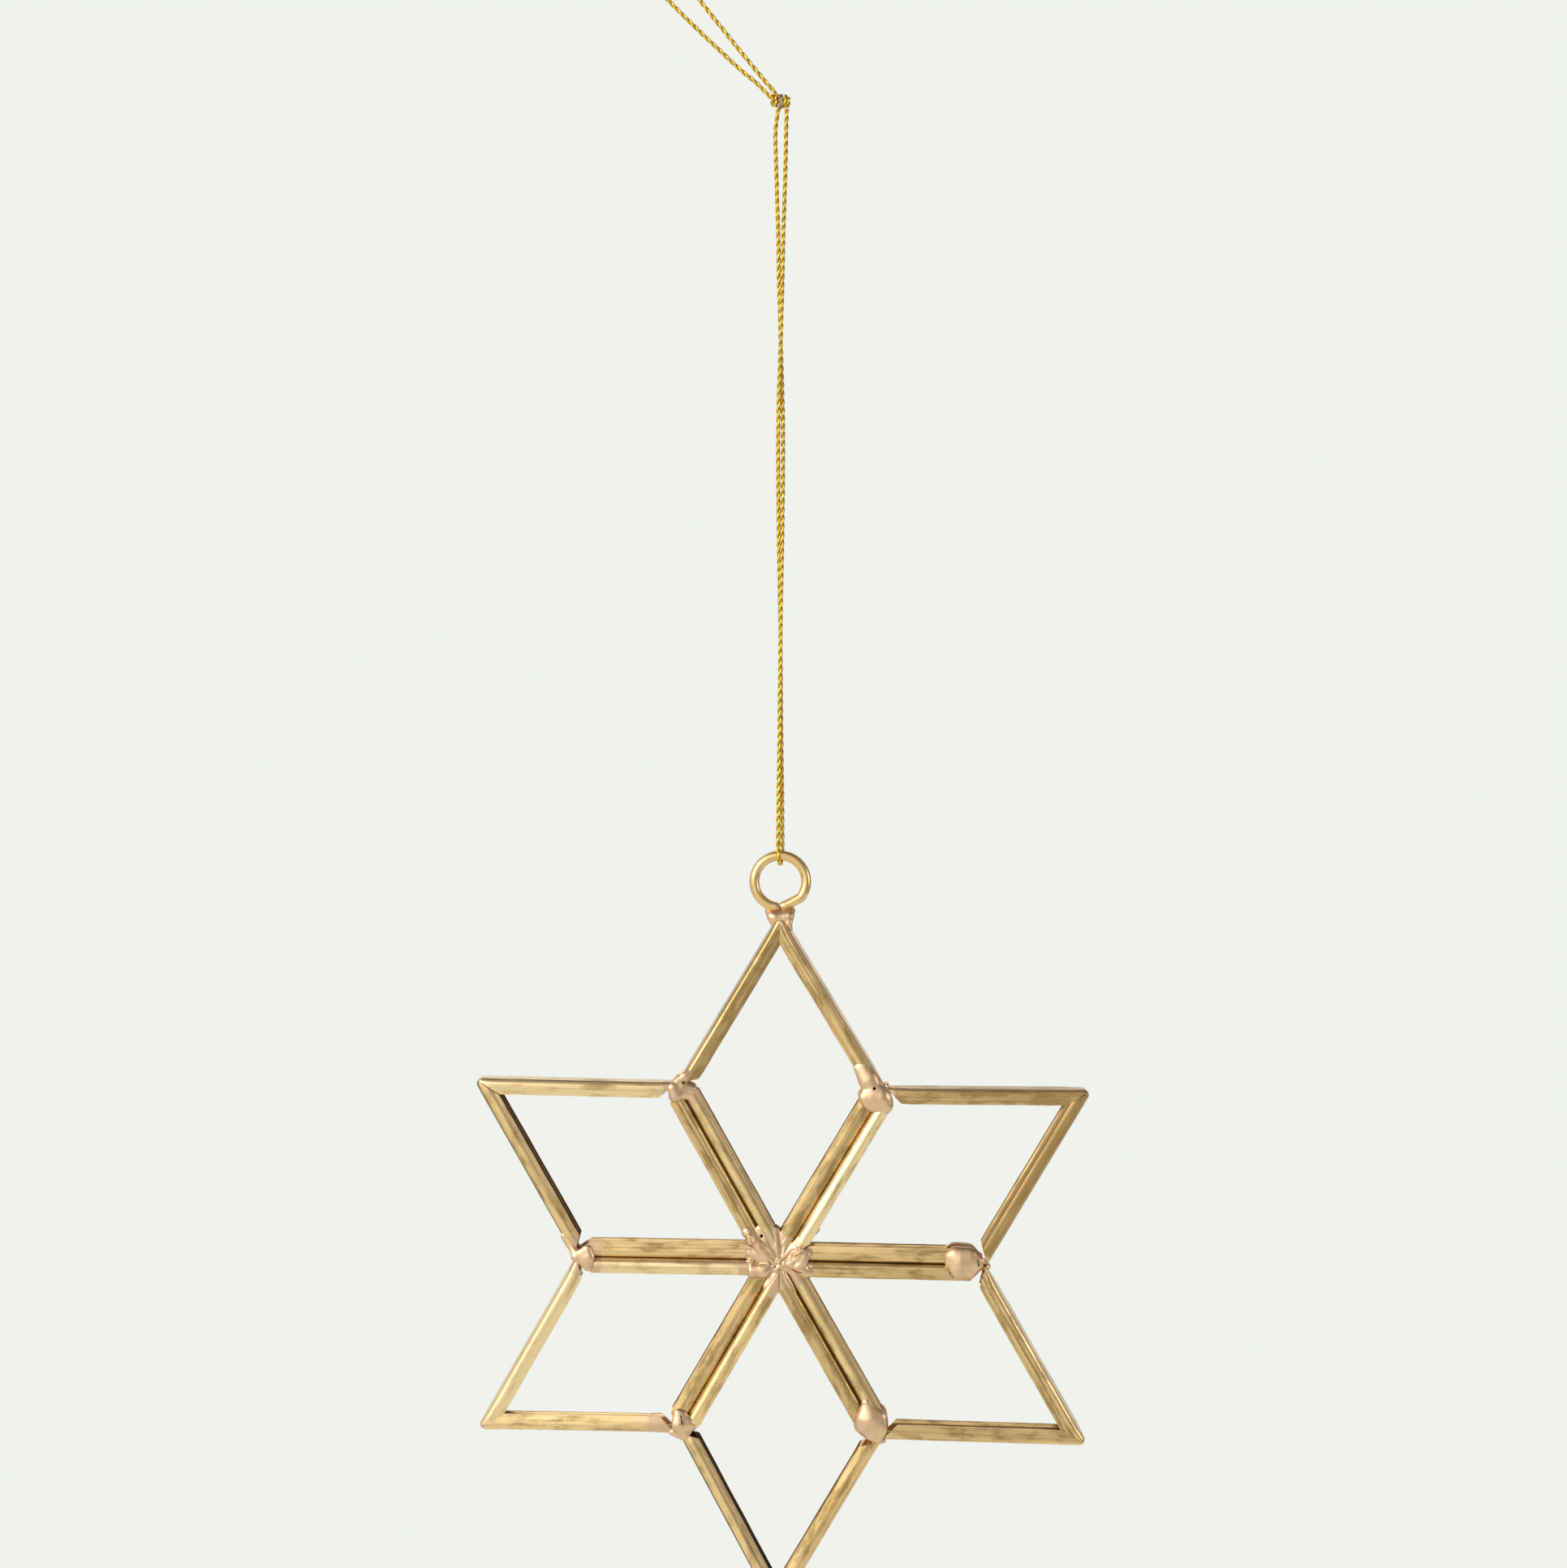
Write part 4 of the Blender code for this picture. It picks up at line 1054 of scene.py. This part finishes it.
def smooth_line(route, count):
    """Points read at even steps from a smooth curve through the route's own points."""
    points = [Vector(p) for p in route]
    points = [2 * points[0] - points[1], *points, 2 * points[-1] - points[-2]]
    knots = [0.0]
    for a, b in zip(points, points[1:]):
        knots.append(knots[-1] + math.sqrt((b - a).length))
    found = []
    for i in range(count):
        at = (len(route) - 1) * i / (count - 1)
        k = min(int(at), len(route) - 2)
        p = points[k : k + 4]
        t = knots[k : k + 4]
        u = t[1] + (at - k) * (t[2] - t[1])
        a1 = p[0].lerp(p[1], (u - t[0]) / (t[1] - t[0]))
        a2 = p[1].lerp(p[2], (u - t[1]) / (t[2] - t[1]))
        a3 = p[2].lerp(p[3], (u - t[2]) / (t[3] - t[2]))
        b1 = a1.lerp(a2, (u - t[0]) / (t[2] - t[0]))
        b2 = a2.lerp(a3, (u - t[1]) / (t[3] - t[1]))
        found.append(b1.lerp(b2, (u - t[1]) / (t[2] - t[1])))
    return found


def even_steps(points, step):
    """The same line with points at even distances."""
    lengths = [0.0]
    for a, b in zip(points, points[1:]):
        lengths.append(lengths[-1] + (b - a).length)
    count = max(2, round(lengths[-1] / step))
    found = []
    k = 0
    for i in range(count + 1):
        target = lengths[-1] * i / count
        while k < len(points) - 2 and lengths[k + 1] < target:
            k += 1
        share = (target - lengths[k]) / (lengths[k + 1] - lengths[k])
        found.append(points[k].lerp(points[k + 1], share))
    return found


def twisted_cord(bm, points, diameter, pitch, phase=0.0):
    """Adds plies that wind round each other along a line of even points."""
    step = (points[1] - points[0]).length
    normal = (points[1] - points[0]).normalized().orthogonal().normalized()
    frames = []
    for i, p in enumerate(points):
        ahead = points[min(i + 1, len(points) - 1)]
        behind = points[max(i - 1, 0)]
        along = (ahead - behind).normalized()
        normal = (normal - along * normal.dot(along)).normalized()
        frames.append((p, normal.copy(), along.cross(normal)))
    layers = bm.verts.layers.float_vector
    thread = layers.get("thread") or layers.new("thread")
    for turn in range(PLIES):
        rings = []
        for i, (p, n, b) in enumerate(frames):
            angle = phase + 2 * math.pi * (i * step / pitch + turn / PLIES)
            middle = p + (n * math.cos(angle) + b * math.sin(angle)) * (diameter * PLY_OFFSET)
            swell = 1 + PLY_SWELL * noise.noise(Vector((i * step * 900, turn * 5, phase)))
            ring = []
            for j in range(PLY_SIDES):
                around = angle + 2 * math.pi * j / PLY_SIDES
                out = n * math.cos(around) + b * math.sin(around)
                vert = bm.verts.new(middle + out * (diameter * PLY) * swell)
                # how far each point faces away from the cord's middle; the material paints shade
                # where it faces inward
                outward = math.cos(2 * math.pi * j / PLY_SIDES)
                vert[thread] = (i * step, j / PLY_SIDES, outward)
                ring.append(vert)
            rings.append(ring)
        tube(bm, rings)


def ring_middle(points, notches, sizes):
    corner = frame_corners("top", points, notches)[2]
    top = corner.inset(POINT_BEND).y + POINT_BEND
    return Vector((corner.here.x, top + RING_SEAT + sizes.ring_outer / 2))


def ring_loop_route(middle, sizes):
    start, end = STRAND_STARTS
    wire = Vector((middle.x, 0.0, middle.y + (sizes.ring_outer - sizes.ring_wire) / 2))
    top = Vector((KNOT.x, 0.0, max(start.z, end.z)))
    down = []
    back = []
    for share, right, behind in STRAND_ROUTE:
        line = top.lerp(wire, share)
        offset = Vector((right, behind, 0.0)) * sizes.cord
        down.append(line + offset)
        back.append(line - offset)
    wrap = []
    reach = sizes.ring_wire / 2 + CORD_GAP + sizes.cord / 2
    for angle_deg in WRAP_ANGLES:
        angle = math.radians(angle_deg)
        aside = -WRAP_SPREAD * sizes.cord * math.cos(angle)
        wrap.append(wire + Vector((aside, -reach * math.cos(angle), -reach * math.sin(angle))))
    return [start, *down, *wrap, *back[::-1], end]


def hanging_loop_route():
    across = Vector((-KNOT.z, 0.0, KNOT.x)).normalized()
    return [KNOT * share + across * aside for share, aside in HANGING_ROUTE]


# ---- Materials


class Nodes:
    """Short hands for the node tree of a material or of the world."""

    def __init__(self, owner, shader="Principled BSDF"):
        owner.use_nodes = True
        self.owner = owner
        self.tree = owner.node_tree
        self.shader = self.tree.nodes[shader]

    def add(self, kind, inputs=None, **settings):
        node = self.tree.nodes.new(kind)
        for key, value in settings.items():
            setattr(node, key, value)
        for key, value in (inputs or {}).items():
            self.feed(node, key, value)
        return node

    def feed(self, node, key, value):
        socket = node.inputs[key]
        if isinstance(value, bpy.types.NodeSocket):
            self.tree.links.new(value, socket)
        elif isinstance(value, bpy.types.Node):
            self.tree.links.new(value.outputs[0], socket)
        else:
            socket.default_value = value

    def attribute(self, name, output="Fac"):
        return self.add("ShaderNodeAttribute", attribute_name=name).outputs[output]

    def place(self):
        return self.add("ShaderNodeTexCoord").outputs["Object"]

    def scaled(self, vector, scale):
        return self.add("ShaderNodeVectorMath", {0: vector, 1: scale}, operation="MULTIPLY")

    def noise(self, vector, scale, detail, rough):
        inputs = {"Vector": vector, "Scale": scale, "Detail": detail, "Roughness": rough}
        return self.add("ShaderNodeTexNoise", inputs).outputs["Fac"]

    def ramp(self, value, low, high, to_low=0.0, to_high=1.0):
        inputs = {"Value": value, 1: low, 2: high, 3: to_low, 4: to_high}
        return self.add("ShaderNodeMapRange", inputs, interpolation_type="SMOOTHSTEP").outputs[0]

    def math(self, operation, a, b, clamp=False):
        return self.add("ShaderNodeMath", {0: a, 1: b}, operation=operation, use_clamp=clamp)

    def plus(self, a, b):
        return self.math("ADD", a, b)

    def times(self, a, b):
        return self.math("MULTIPLY", a, b)

    def mix(self, factor, one, two):
        one, two = ((*c, 1.0) if isinstance(c, tuple) else c for c in (one, two))
        return self.add("ShaderNodeMix", {0: factor, 6: one, 7: two}, data_type="RGBA").outputs[2]

    def bump(self, height, strength, distance, normal=None):
        inputs = {"Height": height, "Strength": strength, "Distance": distance}
        if normal:
            inputs["Normal"] = normal
        return self.add("ShaderNodeBump", inputs).outputs[0]

    def set(self, **values):
        for key, value in values.items():
            name = key.replace("_", " ").title().replace("Ior", "IOR")
            if isinstance(value, tuple) and len(value) == 3:
                value = (*value, 1.0)
            self.feed(self.shader, name, value)
        return self.owner


def brass_material(colours):
    """Folded sheet brass: lengthwise drawing lines, tarnish, solder film at the joints, and painted
    shade in the seams beside the webs and inside the channels.
    """
    m = Nodes(bpy.data.materials.new("brass_sheet"))
    bar = m.attribute("bar", "Vector")
    film, tone, painted_shade = (m.attribute(name) for name in ("film", "tone", "painted_shade"))
    lines = m.noise(m.scaled(bar, (90.0, 9000.0, 13.0)), 1.0, 3.0, 0.6)
    bands = m.noise(m.scaled(bar, (35.0, 1500.0, 5.0)), 1.0, 2.0, 0.5)
    cloud = m.noise(m.scaled(bar, (190.0, 620.0, 17.0)), 1.0, 4.0, 0.62)
    speck = m.noise(m.place(), 2600.0, 2.0, 0.6)
    tarnish = m.plus(m.ramp(cloud, 0.43, 0.70, 0.0, 0.78), m.ramp(bands, 0.44, 0.68, 0.0, 0.38))
    tarnish = m.math("SUBTRACT", tarnish, m.times(tone, 0.9), clamp=True)
    bright = tuple(min(c * 1.10 + 0.03, 1.0) for c in colours.brass)
    base = m.mix(m.ramp(lines, 0.35, 0.7), tuple(colours.brass), bright)
    base = m.mix(m.ramp(tone, 0.0, 0.45), base, PALE_BRASS)
    base = m.mix(m.times(tarnish, 0.85), base, tuple(colours.tarnish))
    base = m.mix(m.ramp(speck, 0.66, 0.74, 0.0, 0.45), base, BRASS_SPECK)
    washed = m.ramp(m.plus(film, m.ramp(cloud, 0.3, 0.7, -0.35, 0.35)), 0.42, 0.58)
    base = m.mix(washed, base, tuple(colours.solder))
    # painted shade in the seams beside the webs and inside the channels
    base = m.mix(m.times(painted_shade, 0.95), base, PAINTED_SHADE_COLOUR)
    rough = m.ramp(lines, 0.3, 0.7, 0.22, 0.32)
    for cover, added in ((tarnish, 0.10), (washed, 0.08), (painted_shade, 0.25)):
        rough = m.plus(rough, m.times(cover, added))
    height = m.plus(lines, m.times(washed, 1.2))
    normal = m.bump(height, 0.30, 0.00002, m.bump(bands, 0.8, 0.00005))
    m.set(coat_weight=0.35, coat_roughness=0.22, coat_normal=normal)
    return m.set(base_color=base, metallic=1.0, roughness=rough, normal=normal)


def solder_material(colours):
    """Copper-coloured solder, satin where it ran smooth, darker and pitted in places, with painted
    shade in its pits and creases.
    """
    m = Nodes(bpy.data.materials.new("solder"))
    place = m.place()
    cloud = m.noise(place, 420.0, 3.0, 0.55)
    grain = m.noise(place, 3800.0, 3.0, 0.6)
    pale = tuple(min(c * 1.10 + 0.02, 1.0) for c in colours.solder)
    dark = tuple(c * 0.62 for c in colours.solder)
    base = m.mix(m.ramp(cloud, 0.38, 0.66), pale, tuple(colours.solder))
    base = m.mix(m.ramp(cloud, 0.60, 0.74, 0.0, 0.55), base, dark)
    base = m.mix(m.ramp(grain, 0.66, 0.74, 0.0, 0.5), base, SOLDER_SPECK)
    # painted shade in the pits and creases
    base = m.mix(m.ramp(m.attribute("hollow_shade"), 0.05, 0.45, 0.0, 0.96), base, HOLLOW_SHADE_COLOUR)
    rough = m.ramp(cloud, 0.35, 0.7, 0.33, 0.45)
    normal = m.bump(grain, 0.22, 0.00003, m.bump(cloud, 0.3, 0.0002))
    m.set(coat_weight=0.35, coat_roughness=0.25)
    return m.set(base_color=base, metallic=1.0, roughness=rough, normal=normal)


def wire_material(colours):
    """Drawn brass wire of the ring, smoother than the sheet."""
    m = Nodes(bpy.data.materials.new("brass_wire"))
    place = m.place()
    cloud = m.noise(place, 520.0, 3.0, 0.55)
    fine = m.noise(place, 5200.0, 2.0, 0.5)
    base = m.mix(m.ramp(cloud, 0.45, 0.7, 0.05, 0.35), tuple(colours.brass), tuple(colours.tarnish))
    base = m.mix(m.ramp(fine, 0.66, 0.75, 0.0, 0.2), base, WIRE_SPECK)
    rough = m.ramp(cloud, 0.35, 0.7, 0.26, 0.36)
    return m.set(base_color=base, metallic=1.0, roughness=rough, normal=m.bump(fine, 0.1, 0.00002))


def cord_material(name, colour, dark):
    """Flat metallic thread wound into plies: fine slanting threads, dark between them, and painted
    shade on each ply's inner side, where the plies meet.
    """
    m = Nodes(bpy.data.materials.new(name))
    thread = m.attribute("thread", "Vector")
    slant = m.add(
        "ShaderNodeTexWave",
        {"Vector": m.scaled(thread, (2600.0, 6.28, 0.0)), "Scale": 1.0, "Distortion": 0.8},
        wave_type="BANDS",
        bands_direction="DIAGONAL",
    ).outputs["Fac"]
    outward = m.add("ShaderNodeSeparateXYZ", {0: thread}).outputs["Z"]
    cloud = m.noise(m.place(), 1500.0, 2.0, 0.6)
    base = m.mix(m.ramp(slant, 0.05, 0.45, 0.40, 0.0), tuple(colour), dark)
    base = m.mix(m.ramp(cloud, 0.55, 0.70, 0.0, 0.35), base, dark)
    # painted shade on each ply's inner side, where the plies meet
    base = m.mix(m.ramp(outward, -0.45, 0.45, 0.85, 0.0), base, dark)
    rough = m.ramp(cloud, 0.3, 0.7, 0.22, 0.42)
    return m.set(base_color=base, metallic=1.0, roughness=rough, normal=m.bump(slant, 0.5, 0.00005))


def paper_material(colours):
    """Paper lit evenly from behind, so that it shows its own colour."""
    m = Nodes(bpy.data.materials.new("paper"))
    m.set(base_color=(0.02, 0.02, 0.02), roughness=1.0, specular_ior_level=0.0)
    return m.set(emission_color=tuple(colours.paper), emission_strength=1.0)


# ---- Operators


class STAR_OT_stage(bpy.types.Operator):
    """Makes the pale backdrop and floor, the soft lights and the camera"""

    bl_idname = "star.stage"
    bl_label = "Set the stage"

    def execute(self, context):
        scene = context.scene
        scene.camera = self.camera()
        scene.view_settings.view_transform = "Standard"
        self.sweep(scene.star_colours)
        scene.world = self.sky(tuple(scene.star_colours.paper))
        for name, place, size, power in LAMPS:
            light = bpy.data.lights.new(name, "AREA")
            light.shape = "SQUARE"
            light.size = size
            light.energy = power
            lamp = linked(name, light)
            lamp.location = place
            lamp.rotation_euler = (STAR_MIDDLE - lamp.location).to_track_quat("-Z", "Y").to_euler()
        return {"FINISHED"}

    def camera(self):
        camera = bpy.data.cameras.new("camera")
        camera.lens = LENS
        camera.sensor_width = 36.0
        camera.clip_start = 0.01
        camera.clip_end = 20.0
        eye = linked("camera", camera)
        eye.location = EYE
        eye.rotation_euler = (math.pi / 2, 0.0, 0.0)
        return eye

    def sweep(self, colours):
        """A floor that bends up into a wall, as one sheet of paper."""
        line = [(SWEEP_FRONT, FLOOR)]
        for i in range(SWEEP_STEPS + 1):
            angle = math.pi / 2 * i / SWEEP_STEPS
            back = WALL - SWEEP_BEND + SWEEP_BEND * math.sin(angle)
            line.append((back, FLOOR + SWEEP_BEND - SWEEP_BEND * math.cos(angle)))
        line.append((WALL, SWEEP_TOP))
        bm = bmesh.new()
        rows = [[bm.verts.new((x, y, z)) for y, z in line] for x in (-SWEEP_HALF, SWEEP_HALF)]
        for i in range(len(line) - 1):
            bm.faces.new((rows[0][i], rows[0][i + 1], rows[1][i + 1], rows[1][i]))
        sweep = object_of("paper_sweep", bm)
        sweep.data.shade_smooth()
        sweep.data.materials.append(paper_material(colours))

    def sky(self, paper):
        """A studio's uneven light all round; the camera itself sees the paper's colour."""
        n = Nodes(bpy.data.worlds.new("studio"), "Background")
        way = n.add("ShaderNodeTexCoord").outputs["Generated"]
        light = None
        for towards, *steps in SKY_LIGHTS:
            facing = n.add("ShaderNodeVectorMath", {0: way, 1: towards}, operation="DOT_PRODUCT")
            part = n.ramp(facing.outputs["Value"], *steps)
            light = n.plus(light, part) if light else part
        grey = n.add("ShaderNodeCombineColor", {0: light, 1: light, 2: light})
        seen = n.add("ShaderNodeLightPath").outputs["Is Camera Ray"]
        return n.set(color=n.mix(seen, grey, paper), strength=1.0)


class STAR_OT_cords(bpy.types.Operator):
    """Lays the twisted gold cord: the doubled length to the ring, the hanging loop, the knot"""

    bl_idname = "star.cords"
    bl_label = "Lay the cord"

    def execute(self, context):
        sizes = context.scene.star_sizes
        gold = cord_material("gold_cord", context.scene.star_colours.cord, CORD_DARK)
        tan = cord_material("tan_binding", TAN, TAN_DARK)
        middle = ring_middle(*layout(), sizes)
        for name, route, count in (
            ("ring_loop", ring_loop_route(middle, sizes), RING_LOOP_POINTS),
            ("hanging_loop", hanging_loop_route(), HANGING_LOOP_POINTS),
        ):
            bm = bmesh.new()
            fine = even_steps(smooth_line(route, FINER * count), CORD_STEP)
            twisted_cord(bm, fine, sizes.cord, sizes.cord_pitch)
            obj = drawn("gold_" + name, bm)
            obj.data.shade_smooth()
            finish_piece(obj, "cord_" + name, gold)
        knot = self.tie(sizes, gold, tan)
        return {"FINISHED"}

    def tie(self, sizes, gold, tan):
        """The knot: coils of the same cord round its own strands, with a tan turn between."""
        bm = bmesh.new()
        for finish, (turns, lean, thick, pitch, phase) in enumerate(KNOT_SETS):
            done = len(bm.faces)
            for i, (aside, deep, tall, up) in enumerate(turns):
                ring = []
                for j in range(TURN_STEPS + 1):
                    angle = 2 * math.pi * j / TURN_STEPS
                    x = aside + lean * math.sin(angle + i)
                    z = up + tall * math.cos(angle)
                    ring.append(KNOT + Vector((x, deep * math.sin(angle), z)))
                wound = (sizes.cord * thick, sizes.cord_pitch * pitch, i * phase)
                twisted_cord(bm, even_steps(ring, TURN_STEP), *wound)
            bm.faces.ensure_lookup_table()
            for face in bm.faces[done:]:
                face.material_index = finish
        knot = drawn("gold_knot", bm)
        knot.data.shade_smooth()
        for material in (gold, tan):
            knot.data.materials.append(material)
        finish_piece(knot, "cord_knot")
        return knot


class STAR_OT_frames(bpy.types.Operator):
    """Folds the six brass frames"""

    bl_idname = "star.frames"
    bl_label = "Fold the frames"

    def execute(self, context):
        sizes = context.scene.star_sizes
        brass = brass_material(context.scene.star_colours)
        points, notches = layout()
        for name in POINT_ORDER:
            build_frame(name, points, notches, sizes, brass)
        return {"FINISHED"}


class STAR_OT_solder(bpy.types.Operator):
    """Runs the solder at the notches and in the middle"""

    bl_idname = "star.solder"
    bl_label = "Solder the frames"

    def execute(self, context):
        sizes = context.scene.star_sizes
        solder = solder_material(context.scene.star_colours)
        points, notches = layout()
        for name in NOTCH_ORDER:
            build_notch_solder(name, points, notches, sizes, solder)
        build_middle_solder(sizes, solder)
        return {"FINISHED"}


class STAR_OT_ring(bpy.types.Operator):
    """Bends the wire ring and solders it to the top point"""

    bl_idname = "star.ring"
    bl_label = "Fit the ring"

    def execute(self, context):
        sizes = context.scene.star_sizes
        colours = context.scene.star_colours
        points, notches = layout()
        middle = ring_middle(points, notches, sizes)
        build_ring(middle, sizes, wire_material(colours))
        build_saddle(middle, sizes, solder_material(colours))
        return {"FINISHED"}


class STAR_PT_panel(bpy.types.Panel):
    bl_label = "Brass Star"
    bl_idname = "STAR_PT_panel"
    bl_space_type = "VIEW_3D"
    bl_region_type = "UI"
    bl_category = "Star"

    def draw(self, context):
        column = self.layout
        for group in (context.scene.star_sizes, context.scene.star_colours):
            box = column.box()
            for prop in group.bl_rna.properties:
                if prop.identifier not in {"rna_type", "name"}:
                    box.prop(group, prop.identifier)
        for operator in OPERATORS:
            column.operator(operator.bl_idname)


OPERATORS = (STAR_OT_stage, STAR_OT_cords, STAR_OT_frames, STAR_OT_solder, STAR_OT_ring)
CLASSES = (StarSizes, StarColours, *OPERATORS, STAR_PT_panel)


def register():
    for cls in CLASSES:
        bpy.utils.register_class(cls)
    bpy.types.Scene.star_sizes = PointerProperty(type=StarSizes)
    bpy.types.Scene.star_colours = PointerProperty(type=StarColours)


def unregister():
    del bpy.types.Scene.star_colours
    del bpy.types.Scene.star_sizes
    for cls in reversed(CLASSES):
        bpy.utils.unregister_class(cls)


def main():
    register()
    bpy.ops.star.stage()
    bpy.ops.star.cords()
    bpy.ops.star.frames()
    bpy.ops.star.solder()
    bpy.ops.star.ring()


if __name__ == "__main__":
    main()
